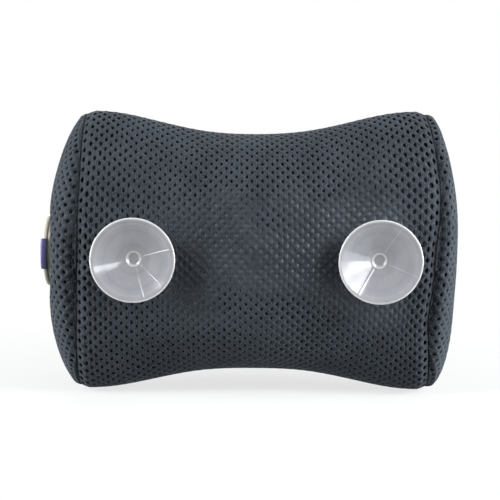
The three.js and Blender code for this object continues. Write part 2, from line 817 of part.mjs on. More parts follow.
function motorSleeve() {
  const bore = motorRadius + fit;
  const sleeveBottom = sleeveTop - motorSleeveLength;
  const tube = ring(bore, bore + motorSleeveWall, sleeveBottom, sleeveTop, massagerSegments);
  const halfRib = THREE.MathUtils.radToDeg(motorRibWidth / innerRadius) / 2;
  const root = bore + motorSleeveWall / 2;
  const ribs = Array.from({ length: motorRibCount }, (_, i) => {
    const middle = (360 / motorRibCount) * i;
    return ringSector(root, innerRadius, middle - halfRib, middle + halfRib, sleeveBottom, sleeveTop);
  });
  return join(tube, ...ribs);
}

// A half disc on a hub, hanging below the shaft at rest
function eccentricWeight() {
  const outline = new THREE.Shape();
  outline.absarc(0, 0, weightRadius, Math.PI, turn, false);
  outline.lineTo(weightHubRadius, 0);
  outline.absarc(0, 0, weightHubRadius, 0, Math.PI, false);
  outline.closePath();
  const bore = new THREE.Path();
  bore.absarc(0, 0, motorShaftRadius + fit, 0, turn, true);
  outline.holes.push(bore);
  return extruded(outline, weightTop - weightLength, weightTop, innerSegments / 2);
}

add(massager, 'motor', motor(), finishes.steel);
add(massager, 'motor_sleeve', motorSleeve(), finishes.blackPlastic);
add(massager, 'motor_shaft', disc(motorShaftRadius, shaftEnd, shaftTop, innerSegments), finishes.steel);
add(massager, 'eccentric_weight', eccentricWeight(), finishes.brass);

export default part;
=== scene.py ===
# %% [markdown]
# # A bath pillow with a massager in its end
#
# The real thing is a bead-filled cushion in a cover of perforated mesh. Two clear suction cups hang it
# on the bath wall, and a battery massager slides into a pocket in its left end. This lesson dresses the
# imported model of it: every piece below is a surface worked out with numpy in millimetres, in the frame
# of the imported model, and then handed to Blender in metres. X runs along the pillow, Y from the wall
# towards the bather, and Z up.

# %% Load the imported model
import math

import bpy
import numpy as np
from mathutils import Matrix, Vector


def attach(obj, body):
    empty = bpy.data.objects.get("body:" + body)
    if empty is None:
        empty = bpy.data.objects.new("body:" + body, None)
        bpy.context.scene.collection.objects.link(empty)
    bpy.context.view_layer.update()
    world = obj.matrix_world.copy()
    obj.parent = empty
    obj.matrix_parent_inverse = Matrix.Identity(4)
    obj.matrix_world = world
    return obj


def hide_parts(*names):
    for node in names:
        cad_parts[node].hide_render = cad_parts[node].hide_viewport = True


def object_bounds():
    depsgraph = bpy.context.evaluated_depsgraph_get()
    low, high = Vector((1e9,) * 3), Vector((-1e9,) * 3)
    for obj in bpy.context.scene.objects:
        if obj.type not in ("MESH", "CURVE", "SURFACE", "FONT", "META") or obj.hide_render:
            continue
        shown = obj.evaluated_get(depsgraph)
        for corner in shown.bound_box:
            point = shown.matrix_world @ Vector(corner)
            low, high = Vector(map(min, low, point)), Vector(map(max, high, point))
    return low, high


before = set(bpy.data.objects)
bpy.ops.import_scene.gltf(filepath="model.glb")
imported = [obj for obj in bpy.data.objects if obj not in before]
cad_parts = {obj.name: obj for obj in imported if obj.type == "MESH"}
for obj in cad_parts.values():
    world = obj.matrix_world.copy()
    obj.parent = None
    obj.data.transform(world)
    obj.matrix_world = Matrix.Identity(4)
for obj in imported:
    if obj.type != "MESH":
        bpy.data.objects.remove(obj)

cad_box = [list(corner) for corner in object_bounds()]
print("packed nodes:", len(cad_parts), "box:", np.round(cad_box, 4).tolist())

# %% [markdown]
# ## The view, the light and the floor
#
# The photograph looks at the cups from a little above and a little to the left, from about 0.7 m. A
# camera at that distance with a 72 mm lens gives the same perspective. The light comes from two key lamps
# in front, high at the left and right, a soft panel overhead, one at each side for the ends and one behind.
# Three weak panels low at the right are there for the cups, which mirror them as a fan and a streak. The
# background is white: the world shows white to the camera and in reflections, but lights the pillow with
# less.

# %% Camera
MM = 0.001
PILLOW_MIDDLE = 58.679  # depth of the pillow's axis, from the wall
VIEW_CENTRE = np.array([-4.26, PILLOW_MIDDLE, 1.3])
VIEW_DISTANCE = 700.0
VIEW_AZIMUTH = math.radians(-1.0)
VIEW_ELEVATION = math.radians(6.0)
VIEW_ROLL = math.radians(-0.6)
SENSOR_WIDTH = 36.0
LENS = 72.0


def look_from(name, centre, distance, azimuth, elevation, roll):
    """A camera on a sphere round centre: straight in front at azimuth 0, further right as it grows. A
    negative roll tips the picture clockwise."""
    level = math.cos(elevation)
    away = np.array([math.sin(azimuth) * level, -math.cos(azimuth) * level, math.sin(elevation)])
    camera = bpy.data.objects.new(name, bpy.data.cameras.new(name))
    camera.location = (centre + distance * away) * MM
    camera.rotation_euler = (math.pi / 2 - elevation, roll, azimuth)
    bpy.context.scene.collection.objects.link(camera)
    return camera


view = look_from("photo_view", VIEW_CENTRE, VIEW_DISTANCE, VIEW_AZIMUTH, VIEW_ELEVATION, VIEW_ROLL)
view.data.sensor_width = SENSOR_WIDTH
view.data.lens = LENS
view.data.clip_start = 0.01
bpy.context.scene.camera = view
bpy.context.scene.view_settings.view_transform = "Standard"
print("camera at", np.round(view.location, 3).tolist())

# %% Lamps
LAMPS = {
    # name: place in metres, width and height in metres, watts, colour
    "overhead_panel": ((-0.1, -0.2, 1.05), (1.0, 1.0), 1.0, (1.0, 0.99, 0.97)),
    "left_key": ((-0.9, -0.54, 0.6), (0.4, 0.4), 5.5, (0.98, 0.99, 1.0)),
    "right_key": ((0.9, -0.54, 0.6), (0.4, 0.4), 5.5, (0.98, 0.99, 1.0)),
    "fan_panel": ((0.76, -0.62, 0.19), (0.3, 0.62), 2.3, (0.95, 0.98, 1.0)),
    "glow_panel": ((0.78, -0.6, -0.08), (0.3, 0.45), 0.6, (0.95, 0.98, 1.0)),
    "streak_panel": ((0.578, -0.749, 0.089), (0.3, 0.16), 0.6, (0.95, 0.98, 1.0)),
    "right_side_panel": ((1.1, -0.12, 0.14), (0.6, 0.7), 19.0, (0.95, 0.98, 1.0)),
    "left_side_panel": ((-1.1, -0.15, 0.1), (0.6, 0.7), 18.0, (0.96, 0.98, 1.0)),
    "rear_panel": ((0.0, 1.2, 0.12), (0.9, 0.5), 9.0, (0.98, 0.99, 1.0)),
}


def soft_lamp(name, place, size, watts, colour):
    """An area lamp that faces the pillow's middle."""
    lamp = bpy.data.objects.new(name, bpy.data.lights.new(name, "AREA"))
    lamp.data.shape = "RECTANGLE"
    lamp.data.size, lamp.data.size_y = size
    lamp.data.energy = watts
    lamp.data.color = colour
    lamp.location = place
    gaze = np.array([0, PILLOW_MIDDLE * MM, 0]) - np.array(place)
    pan = math.atan2(gaze[1], gaze[0]) - math.pi / 2
    tip = math.atan2(gaze[2], math.hypot(gaze[0], gaze[1])) + math.pi / 2
    lamp.rotation_euler = (tip, 0, pan)
    bpy.context.scene.collection.objects.link(lamp)
    return lamp


for lamp_name, settings in LAMPS.items():
    soft_lamp(lamp_name, *settings)
print("lamps:", list(LAMPS))

# %% White room
ROOM_LIGHT = 0.14


def seen_directly(tree):
    """A number that is 1 where a camera, mirror or see-through ray looks, and 0 where light is gathered."""
    path = tree.nodes.new("ShaderNodeLightPath")
    rays = ["Is Camera Ray", "Is Glossy Ray", "Is Transmission Ray"]
    total = path.outputs[rays[0]]
    for ray in rays[1:]:
        larger = tree.nodes.new("ShaderNodeMath")
        larger.operation = "MAXIMUM"
        tree.links.new(total, larger.inputs[0])
        tree.links.new(path.outputs[ray], larger.inputs[1])
        total = larger.outputs[0]
    return total


def white_room():
    """A world that looks white and lights from above with ROOM_LIGHT, less from the sides, not from below."""
    world = bpy.data.worlds.new("white_room")
    world.use_nodes = True
    tree = world.node_tree
    tree.nodes.clear()
    lit = tree.nodes.new("ShaderNodeBackground")
    lit.inputs["Color"].default_value = (0.96, 0.98, 1.0, 1)
    direction = tree.nodes.new("ShaderNodeTexCoord").outputs["Generated"]
    split = tree.nodes.new("ShaderNodeSeparateXYZ")
    tree.links.new(direction, split.inputs[0])
    rising = tree.nodes.new("ShaderNodeMapRange")
    tree.links.new(split.outputs["Z"], rising.inputs["Value"])
    rising.inputs["From Min"].default_value = -0.3
    rising.inputs["From Max"].default_value = 0.7
    rising.inputs["To Max"].default_value = ROOM_LIGHT
    tree.links.new(rising.outputs[0], lit.inputs["Strength"])
    shown = tree.nodes.new("ShaderNodeBackground")
    shown.inputs["Strength"].default_value = 1.0
    shown.inputs["Color"].default_value = (1, 1, 1, 1)
    choice = tree.nodes.new("ShaderNodeMixShader")
    out = tree.nodes.new("ShaderNodeOutputWorld")
    tree.links.new(seen_directly(tree), choice.inputs[0])
    tree.links.new(lit.outputs[0], choice.inputs[1])
    tree.links.new(shown.outputs[0], choice.inputs[2])
    tree.links.new(choice.outputs[0], out.inputs[0])
    bpy.context.scene.world = world


white_room()
print("room light", ROOM_LIGHT)

# %% [markdown]
# ## Two helpers that every piece uses
#
# A surface is a grid of points, so its faces follow from the grid's shape alone. `skin` closes a grid
# round its columns and puts a point at each end where one is asked for. `add_piece` turns points and
# faces into a mesh object at the origin, checks from the signed volume that the faces point outwards,
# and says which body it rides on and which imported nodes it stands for.

# %% Grids and pieces


def skin(grid, first=None, last=None):
    """Faces of a tube of rings (rings x columns x 3), closed round its columns; first and last are points
    that close its ends."""
    rings, columns = grid.shape[:2]
    points = grid.reshape(-1, 3)
    ring = np.arange(rings - 1)[:, None] * columns
    here = np.arange(columns)[None, :]
    beside = (here + 1) % columns
    quads = np.stack([ring + here, ring + beside, ring + columns + beside, ring + columns + here], -1)
    faces = [quads.reshape(-1, 4)]
    here, beside = here[0], beside[0]
    if first is not None:
        faces.append(np.stack([beside, here, np.full(columns, len(points))], -1))
        points = np.vstack([points, first])
    if last is not None:
        end = (rings - 1) * columns
        faces.append(np.stack([end + here, end + beside, np.full(columns, len(points))], -1))
        points = np.vstack([points, last])
    return points, faces


def signed_volume(points, faces):
    """Sum over all triangles of the box product of their corners, divided by six."""
    triangles = [np.concatenate([f[:, [0, 1, 2]], f[:, [0, 2, 3]]]) if f.shape[1] == 4 else f for f in faces]
    a, b, c = np.moveaxis(points[np.concatenate(triangles)], 1, 0)
    return float(np.einsum("ij,ij->", a, np.cross(b, c)) / 6)


def add_piece(name, points, faces, finish, body, stands_for, slot, corner_uv=None, tags=None, crease=None):
    """Makes a mesh object at the origin from points in millimetres, with its faces turned outwards."""
    if signed_volume(points, faces) < 0:
        faces = [f[:, ::-1] for f in faces]
        corner_uv = None if corner_uv is None else [uv[:, ::-1] for uv in corner_uv]
    mesh = bpy.data.meshes.new(name)
    mesh.from_pydata((points * MM).tolist(), [], [row for f in faces for row in f.tolist()])
    mesh.polygons.foreach_set("use_smooth", np.ones(len(mesh.polygons), bool))
    if crease is not None:
        mesh.set_sharp_from_angle(angle=math.radians(crease))
    if corner_uv is not None:
        layer = mesh.uv_layers.new(name="cloth")
        layer.uv.foreach_set("vector", np.concatenate([uv.reshape(-1) for uv in corner_uv]))
    for tag, values in (tags or {}).items():
        mesh.attributes.new(tag, "FLOAT", "POINT").data.foreach_set("value", values)
    mesh.update()
    mesh.materials.append(finish)
    piece = bpy.data.objects.new(name, mesh)
    bpy.context.scene.collection.objects.link(piece)
    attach(piece, body)
    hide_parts(*stands_for)
    print(name, len(points), "points", sum(len(f) for f in faces), "faces")
    return piece


# %% [markdown]
# ## A helper for finishes
#
# Each finish is a Principled shader with textures worked out in its nodes. The helper below makes the
# material and keeps the few links that repeat: a texture read in millimetres, a colour ramp, and a bump.

# %% Finishes


class Finish:
    """A material with one Principled shader; sockets sets the values that are the same all over."""

    def __init__(self, name, sockets):
        self.material = bpy.data.materials.new(name)
        self.material.use_nodes = True
        self.tree = self.material.node_tree
        self.shader = self.tree.nodes["Principled BSDF"]
        for socket, value in sockets.items():
            self.shader.inputs[socket].default_value = value

    def node(self, kind, settings=None, inputs=None):
        """Adds a node; an input is either a value or the output that feeds it."""
        made = self.tree.nodes.new("ShaderNode" + kind)
        for key, value in (settings or {}).items():
            setattr(made, key, value)
        for key, value in (inputs or {}).items():
            if isinstance(value, bpy.types.NodeSocket):
                self.tree.links.new(value, made.inputs[key])
            else:
                made.inputs[key].default_value = value
        return made

    def place(self, source="Object", scale=(1, 1, 1)):
        """Coordinates in millimetres on the piece, stretched by scale; cloth coordinates already are."""
        unit = 1.0 if source == "UV" else 1 / MM
        found = self.node("TexCoord").outputs[source]
        stretch = tuple(unit * s for s in scale)
        return self.node("Mapping", None, {"Vector": found, "Scale": stretch}).outputs[0]

    def noise(self, where, size, detail=3.0):
        """Cloudy noise whose blots are about size millimetres across."""
        inputs = {"Vector": where, "Scale": 1 / size, "Detail": detail}
        return self.node("TexNoise", None, inputs).outputs["Fac"]

    def bands(self, where, pitch, direction, wobble=0.0):
        """Even stripes across one direction, pitch millimetres apart."""
        settings = {"wave_type": "BANDS", "bands_direction": direction}
        inputs = {"Vector": where, "Scale": math.pi / 10 / pitch, "Distortion": wobble}
        return self.node("TexWave", settings, inputs).outputs["Fac"]

    def math(self, operation, a, b):
        return self.node("Math", {"operation": operation}, {0: a, 1: b}).outputs[0]

    def ramp(self, fac, low, high, start=0.0, end=1.0):
        """Goes from colour low to colour high as fac goes from start to end."""
        made = self.node("ValToRGB", None, {"Fac": fac})
        made.color_ramp.elements[0].position = start
        made.color_ramp.elements[1].position = end
        made.color_ramp.elements[0].color = (*low, 1)
        made.color_ramp.elements[1].color = (*high, 1)
        return made.outputs["Color"]

    def colour(self, output):
        self.tree.links.new(output, self.shader.inputs["Base Color"])

    def rough(self, fac, low, high):
        """Roughness from low to high with fac."""
        spread = self.node("MapRange", None, {"Value": fac, "To Min": low, "To Max": high}).outputs[0]
        self.tree.links.new(spread, self.shader.inputs["Roughness"])

    def bump(self, height, depth, strength=1.0):
        """Bump of depth millimetres."""
        made = self.node("Bump", None, {"Height": height, "Distance": depth * MM, "Strength": strength})
        self.tree.links.new(made.outputs[0], self.shader.inputs["Normal"])


FLOOR_GLOW = 1.05
FLOOR_GLOW_SHARE = 0.65
FLOOR_HALF_WIDTH = 0.42
FLOOR_FADE = 0.6  # share of the way in from the edge at which the floor is whole
FLOOR_BOUNCE = (0.05, 0.05, 0.05)
FLOOR_WHITE = (0.88, 0.88, 0.88)


def floor_finish():
    """Pale matt floor that keeps a soft shadow and fades into the white room towards its edge."""
    finish = Finish("pale_floor", {"Roughness": 0.9, "Specular IOR Level": 0.0})
    tree = finish.tree
    seen = seen_directly(tree)
    cloud = finish.math("MULTIPLY", finish.noise(finish.place(), 60.0), 0.06)
    finish.colour(finish.ramp(finish.math("SUBTRACT", seen, cloud), FLOOR_BOUNCE, FLOOR_WHITE))
    glow = finish.node("Emission", None, {"Strength": FLOOR_GLOW})
    share = finish.math("MULTIPLY", seen, FLOOR_GLOW_SHARE)
    lit = finish.node("MixShader", None, {0: share, 1: finish.shader.outputs[0], 2: glow.outputs[0]})
    around = finish.place(scale=(MM / FLOOR_HALF_WIDTH,) * 3)
    near = finish.node("TexGradient", {"gradient_type": "SPHERICAL"}, {"Vector": around}).outputs["Fac"]
    smooth = {"interpolation_type": "SMOOTHSTEP"}
    kept = finish.node("MapRange", smooth, {"Value": near, "From Max": FLOOR_FADE}).outputs[0]
    clear = finish.node("BsdfTransparent")
    faded = finish.node("MixShader", None, {0: kept, 1: clear.outputs[0], 2: lit.outputs[0]})
    tree.links.new(faded.outputs[0], tree.nodes["Material Output"].inputs["Surface"])
    return finish.material


FLOOR_LEVEL = cad_box[0][2] - 0.0012
floor_mesh = bpy.data.meshes.new("pale_floor")
floor_corners = FLOOR_HALF_WIDTH * np.array([[-1, -1], [1, -1], [1, 1], [-1, 1]])
floor_mesh.from_pydata(np.c_[floor_corners, np.zeros(4)].tolist(), [], [[0, 1, 2, 3]])
floor_mesh.materials.append(floor_finish())
floor = bpy.data.objects.new("pale_floor", floor_mesh)
floor.location = (0, PILLOW_MIDDLE * MM, FLOOR_LEVEL)
bpy.context.scene.collection.objects.link(floor)
print("floor at", round(FLOOR_LEVEL, 4))

# %% [markdown]
# ## The cushion's form
#
# The cover is a tube of ovals, slim at the waist and tall at the ends, closed by two domed end panels.
# Both half axes of the ovals follow an ease, the square of a sine over a quarter turn, along the pillow.
# The end panels are ovals that shrink towards the crown while they rise. On every ring the columns lie
# at even arc lengths, because the cloth's rows of holes do too.

# %% Ovals along the pillow
SEAM_SPAN = 119.0  # from the middle to an end seam
FULL_SPAN = 111.0  # where the ovals are tallest
WAIST_HALF_HEIGHT = 82.8
END_HALF_HEIGHT = 97.5
END_HALF_DEPTH = 44.0
WAIST_DEPTH_GAIN = 10.0
FLAT_SPAN = 67.5
DRAW_IN = 2.0
SWELL_POWER = 1.29


def ease(x, reach, power=1.0):
    """The square of the sine of a quarter turn: 0 at the middle, 1 from reach outwards."""
    return np.sin(np.pi / 2 * np.minimum(np.abs(x) / reach, 1) ** power) ** 2


def half_axes(x):
    """Half depth and half height of the oval at x, both drawn in beside the seams."""
    drawn = DRAW_IN * np.maximum(0, (np.abs(x) - FULL_SPAN) / (SEAM_SPAN - FULL_SPAN)) ** 2
    depth = END_HALF_DEPTH + WAIST_DEPTH_GAIN * (1 - ease(x, FLAT_SPAN)) - drawn
    taller = (END_HALF_HEIGHT - WAIST_HALF_HEIGHT) * ease(x, FULL_SPAN, SWELL_POWER)
    return depth, WAIST_HALF_HEIGHT + taller - drawn


def arc_table(depth, height, steps=1440):
    """Angles round each oval, and the share of its outline that lies before each angle."""
    angle = np.linspace(0, 2 * np.pi, steps + 1)
    middle = (angle[1:] + angle[:-1]) / 2
    speed = np.hypot(depth[:, None] * np.sin(middle), height[:, None] * np.cos(middle))
    share = np.cumsum(speed, 1)
    share = np.c_[np.zeros(len(depth)), share / share[:, -1:]]
    return angle, share, speed.mean(1) * 2 * np.pi


def even_angles(depth, height, turns):
    """Angles that lie at the given shares of each oval's outline, one row per oval."""
    angle, share, _ = arc_table(depth, height)
    row = np.arange(len(depth))[:, None]
    stretched = (share * (1 - 1e-9) + row).ravel()
    found = np.interp((turns[None, :] + row).ravel(), stretched, np.tile(angle, len(depth)))
    return found.reshape(len(depth), -1)


NET_COLUMNS = 144
WRAP_RINGS = 49
net_turns = np.arange(NET_COLUMNS) / NET_COLUMNS
wrap_x = np.linspace(-SEAM_SPAN, SEAM_SPAN, WRAP_RINGS)
wrap_depth, wrap_height = half_axes(wrap_x)
wrap_angle = even_angles(wrap_depth, wrap_height, net_turns)


def oval_rings(x, depth, height, angle):
    """Points at x, at the pillow's axis plus depth times cosine in Y and height times sine in Z."""
    y = PILLOW_MIDDLE + depth[:, None] * np.cos(angle)
    z = height[:, None] * np.sin(angle)
    return np.stack([np.broadcast_to(x[:, None], y.shape), y, z], -1)


wrap_net = oval_rings(wrap_x, wrap_depth, wrap_height, wrap_angle)
print("wrap net", wrap_net.shape, "waist outline", round(float(arc_table(*half_axes(np.zeros(1)))[2][0]), 1))

# %% End domes
PANEL_RINGS = 17
PANEL_SEAT = 119.3
LEFT_BULGE = 21.5
RIGHT_BULGE = 20.6
LEFT_POWER = 1.4
RIGHT_POWER = 0.9
MOUTH_RADIUS = 27.5  # where the left panel's cloth ends in the pocket's binding
RIGHT_CROWN_RADIUS = 0.4
MOUTH_RECESS = 3.0  # the binding lies this far inside the left panel's crown
RECESS_WIDTH = 0.15
FLAT_RECESS = 0.5  # share by which the recess is deeper on the flat sides
FLAT_RECESS_WIDTH = 0.36
seam_depth, seam_height = half_axes(np.array([SEAM_SPAN]))
seam_angle = even_angles(seam_depth, seam_height, net_turns)


def dome_rings(lift, side, bulge, power, crown_radius, recess):
    """Ovals that shrink from the seam (lift 0) to the crown (lift 1) as a cosine, while x rises as a power
    of the sine. Close to the crown they sink by the recess, more widely on the flat sides."""
    spread = np.cos(np.pi / 2 * lift)
    rise = bulge * np.sin(np.pi / 2 * lift) ** power
    depth = (1 - spread) * crown_radius + spread * seam_depth
    height = (1 - spread) * crown_radius + spread * seam_height
    angle = np.broadcast_to(seam_angle, (len(lift), NET_COLUMNS))
    net = oval_rings(side * (PANEL_SEAT + rise), depth, height, angle)
    flat_side = np.cos(seam_angle) ** 4
    width = RECESS_WIDTH + (FLAT_RECESS_WIDTH - RECESS_WIDTH) * flat_side
    net[..., 0] -= side * recess * (1 + FLAT_RECESS * flat_side) * np.exp(-((spread[:, None] / width) ** 2))
    return net


panel_lift = np.linspace(0, 1, PANEL_RINGS)
left_net = dome_rings(panel_lift[::-1], -1, LEFT_BULGE, LEFT_POWER, MOUTH_RADIUS, MOUTH_RECESS)
right_net = dome_rings(panel_lift, 1, RIGHT_BULGE, RIGHT_POWER, RIGHT_CROWN_RADIUS, 0.0)
print("crowns at x", left_net[0, 0, 0].round(1), right_net[-1, 0, 0].round(1))

# %% [markdown]
# The pillow in the photograph stands on its long edge, so its beads have settled: the ends are narrower at
# the top than at the bottom, the top edge is fuller on the right, and the right end is twisted a little,
# so that its front seam lies further out above the middle and further in below. `settle` moves points by
# that little and leaves the pocket's mouth where it is.

# %% Settling
END_LEAN = 0.0221  # share by which the ends draw in at the top and spread at the bottom
TOP_RISE = 1.7
MOUTH_CALM = 45.0
DRIFT_REACH = 24.0
SEAM_DRIFT = np.array([
    # height, and how far out the right end's front seam lies there
    [-98, -2.0], [-73, -3.0], [-45, -4.1], [-15, -0.6], [6, 0.7], [27, 3.4], [46, 4.6], [70, 3.6], [98, 3.0],
])


def seam_drift(points):
    """Drift along x: read off the table by height, full on the front at the right seam, and falling as a
    bell curve along the pillow."""
    x, y, z = np.moveaxis(points, -1, 0)
    front = np.clip((PILLOW_MIDDLE - 12 - y) / 25, 0, 1)
    return np.interp(z, *SEAM_DRIFT.T) * front * np.exp(-(((x - SEAM_SPAN) / DRIFT_REACH) ** 2))


def settle(points):
    """Draws x in above the middle and spreads it below, raises the top edge by a sine towards the right
    end, and adds the seam's drift."""
    x, y, z = np.moveaxis(points, -1, 0)
    calm = 1 - np.exp(-((np.hypot(y - PILLOW_MIDDLE, z) / MOUTH_CALM) ** 4))
    rise = TOP_RISE * np.clip(z / 80, 0, 1) * np.sin(np.pi / 2 * np.clip(x / SEAM_SPAN, 0, 1))
    leant = x * (1 - END_LEAN * calm * z / END_HALF_HEIGHT) + seam_drift(points)
    return np.stack([leant, y, z + rise], -1)


left_net, wrap_net, right_net = settle(left_net), settle(wrap_net), settle(right_net)
print("end seam at x", wrap_net[-1, :, 0].min().round(1), "to", wrap_net[-1, :, 0].max().round(1))

# %% [markdown]
# ## Swelling the cover with a cloth simulation
#
# A stuffed cover isn't an exact formula: it swells between the places that hold it. Here the net is
# drawn in a little, held along the seams, round the pocket's mouth and at the two eyelets, and blown up
# by Blender's cloth with some pressure and no gravity. How far a point may move is capped. The mean
# swelling is taken off again, and only a share of the rest is kept, so that the cushion keeps its measured
# outline. The result is only the net that carries the fine mesh, so the simulation stays quick.

# %% Cloth
CLOTH_FRAMES = 20
CLOTH_PRESSURE = 8.0
DRAWN_IN_BEFORE = 2.0
SWELL_CAP = 5.0
SWELL_SHARE = 0.4
HELD_SPAN = 9.0
CUP_SPACING = 80.0  # from the middle to each cup's axis
FAR_OFF = 999.0


def net_normals(net):
    """Outward unit normals of a net, from the differences of its neighbours."""
    along = np.gradient(net, axis=0)
    around = np.roll(net, -1, 1) - np.roll(net, 1, 1)
    normal = np.cross(around, along)
    return normal / np.maximum(np.linalg.norm(normal, axis=-1, keepdims=True), 1e-9)


def from_cup_axis(points):
    """Distance from the nearer cup's axis, for points on the wall side, and a large number elsewhere."""
    off = np.hypot(np.abs(points[..., 0]) - CUP_SPACING, points[..., 2])
    return np.where(points[..., 1] < PILLOW_MIDDLE, off, FAR_OFF)


def swell(net, held):
    """Blows the net up as cloth: held points stay, the rest may move SWELL_CAP at most."""
    start = net - net_normals(net) * DRAWN_IN_BEFORE * (1 - held[..., None])
    points, faces = skin(start, first=start[0].mean(0), last=start[-1].mean(0))
    mesh = bpy.data.meshes.new("swelling_cover")
    mesh.from_pydata((points * MM).tolist(), [], [row for f in faces for row in f.tolist()])
    mesh.update()
    cover = bpy.data.objects.new("swelling_cover", mesh)
    bpy.context.scene.collection.objects.link(cover)
    pins = cover.vertex_groups.new(name="held")
    pins.add(np.flatnonzero(np.r_[held.ravel() > 0.5, True, False]).tolist(), 1.0, "REPLACE")
    cloth = cover.modifiers.new("cloth", "CLOTH")
    cloth.settings.quality = 5
    cloth.settings.mass = 0.3
    cloth.settings.tension_stiffness = 5
    cloth.settings.compression_stiffness = 5
    cloth.settings.shear_stiffness = 2
    cloth.settings.bending_stiffness = 0.5
    cloth.settings.use_pressure = True
    cloth.settings.uniform_pressure_force = CLOTH_PRESSURE
    cloth.settings.vertex_group_mass = "held"
    cloth.settings.effector_weights.gravity = 0
    cloth.point_cache.frame_start = 1
    cloth.point_cache.frame_end = CLOTH_FRAMES
    for step in range(1, CLOTH_FRAMES + 1):
        bpy.context.scene.frame_set(step)
    shaped = cover.evaluated_get(bpy.context.evaluated_depsgraph_get()).data
    blown = np.empty(len(points) * 3)
    shaped.vertices.foreach_get("co", blown)
    bpy.data.objects.remove(cover)
    bpy.context.scene.frame_set(1)
    moved = blown.reshape(-1, 3)[: held.size].reshape(net.shape) / MM - start
    far = np.linalg.norm(moved, axis=-1, keepdims=True)
    return start + moved * np.minimum(1, SWELL_CAP / np.maximum(far, 1e-9))


chain = np.concatenate([left_net, wrap_net, right_net])
held_share = (from_cup_axis(chain) < HELD_SPAN).astype(float)
seam_rings = np.array([-2, -1, 0])
held_share[np.r_[0, 1, PANEL_RINGS + seam_rings, PANEL_RINGS + WRAP_RINGS - 1 - seam_rings]] = 1
blown_chain = swell(chain, held_share)
outward = net_normals(chain)
swelling = np.einsum("ijk,ijk->ij", blown_chain - chain, outward)
print("swelling from", swelling.min().round(2), "to", swelling.max().round(2))
fullness = SWELL_SHARE * (swelling - swelling[held_share < 0.5].mean()) * (1 - held_share)
blown_chain = chain + outward * fullness[..., None]
left_net = blown_chain[:PANEL_RINGS]
wrap_net = blown_chain[PANEL_RINGS:PANEL_RINGS + WRAP_RINGS]
right_net = blown_chain[PANEL_RINGS + WRAP_RINGS:]

# %% [markdown]
# ## Reading a smooth surface off the net
#
# The mesh cloth needs points between those of the net. A uniform cubic B-spline over the net is smooth
# enough that no facets show, and its slopes give the normal along which cloth has its thickness.

# %% Spline skin


def spline_weights(t):
    """Weights of four neighbours in a uniform cubic B-spline at fraction t, and the slopes of the weights."""
    value = [(1 - t) ** 3, 3 * t**3 - 6 * t**2 + 4, -3 * t**3 + 3 * t**2 + 3 * t + 1, t**3]
    slope = [-((1 - t) ** 2), 3 * t**2 - 4 * t, -3 * t**2 + 2 * t + 1, t**2]
    return np.stack(value, -1) / 6, np.stack(slope, -1) / 2


def on_net(net, ring, turn):
    """Point and outward unit normal of the spline over a net, at a ring count and a share of a turn."""
    rings, columns = net.shape[:2]
    longer = np.concatenate([2 * net[:1] - net[1:2], net, 2 * net[-1:] - net[-2:-1]])
    i = np.clip(np.floor(ring).astype(int), 0, rings - 2)
    j = np.floor(turn * columns).astype(int)
    along, along_slope = spline_weights(ring - i)
    around, around_slope = spline_weights(turn * columns - j)
    row = i[..., None, None] + np.arange(4)[:, None]
    column = (j[..., None, None] + np.arange(-1, 3)) % columns
    patch = longer[row, column]
    mix = "...a,...b,...abc->...c"
    point = np.einsum(mix, along, around, patch)
    normal = np.cross(np.einsum(mix, along, around_slope, patch), np.einsum(mix, along_slope, around, patch))
    return point, normal / np.maximum(np.linalg.norm(normal, axis=-1, keepdims=True), 1e-9)


probe, probe_normal = on_net(wrap_net, np.array([24.0]), np.array([0.5]))
print("waist, wall side:", probe.round(2).tolist(), "faces", probe_normal.round(2).tolist())

# %% [markdown]
# ## Where the shiny liner touches the mesh
#
# In the photograph the holes are black near the seams, along the top and in scattered patches, and pale
# or grey in the middle: there the shiny liner, pushed out by the beads, lies against the mesh. `touch`
# is 1 where it lies against it and 0 where it hangs back. It is a broad oval with pale and dark patches,
# and slow waves on the sides that the photograph doesn't show.

# %% Touch
TOUCH_MIDDLE = (18.0, -2.0)
TOUCH_REACH = (104.0, 64.0)
TOUCH_LEVEL = 0.66
TOUCH_WAVE = 0.16
HIDDEN_FROM = 150.0  # arc length from the wall side's middle line at which the photograph's view ends
TOUCH_PATCHES = np.array([
    # along, up, reach along, reach up, strength
    [83, 20, 28, 14, 0.45], [38, -4, 48, 20, 0.35], [94, -43, 12, 12, 0.5], [62, 34, 22, 10, 0.25],
    [-39, 57, 13, 11, -0.9], [8, 62, 24, 16, -0.9], [50, 54, 11, 13, -0.9], [39, 43, 10, 7, -0.6],
    [9, 25, 15, 8, -0.7], [-19, -62, 13, 13, -0.9], [13, -33, 23, 11, -0.9], [44, -57, 14, 17, -0.9],
    [83, -76, 26, 17, -0.9], [-17, -28, 9, 9, -0.7], [-92, 0, 18, 80, -0.6], [104, 10, 10, 70, -0.5],
])


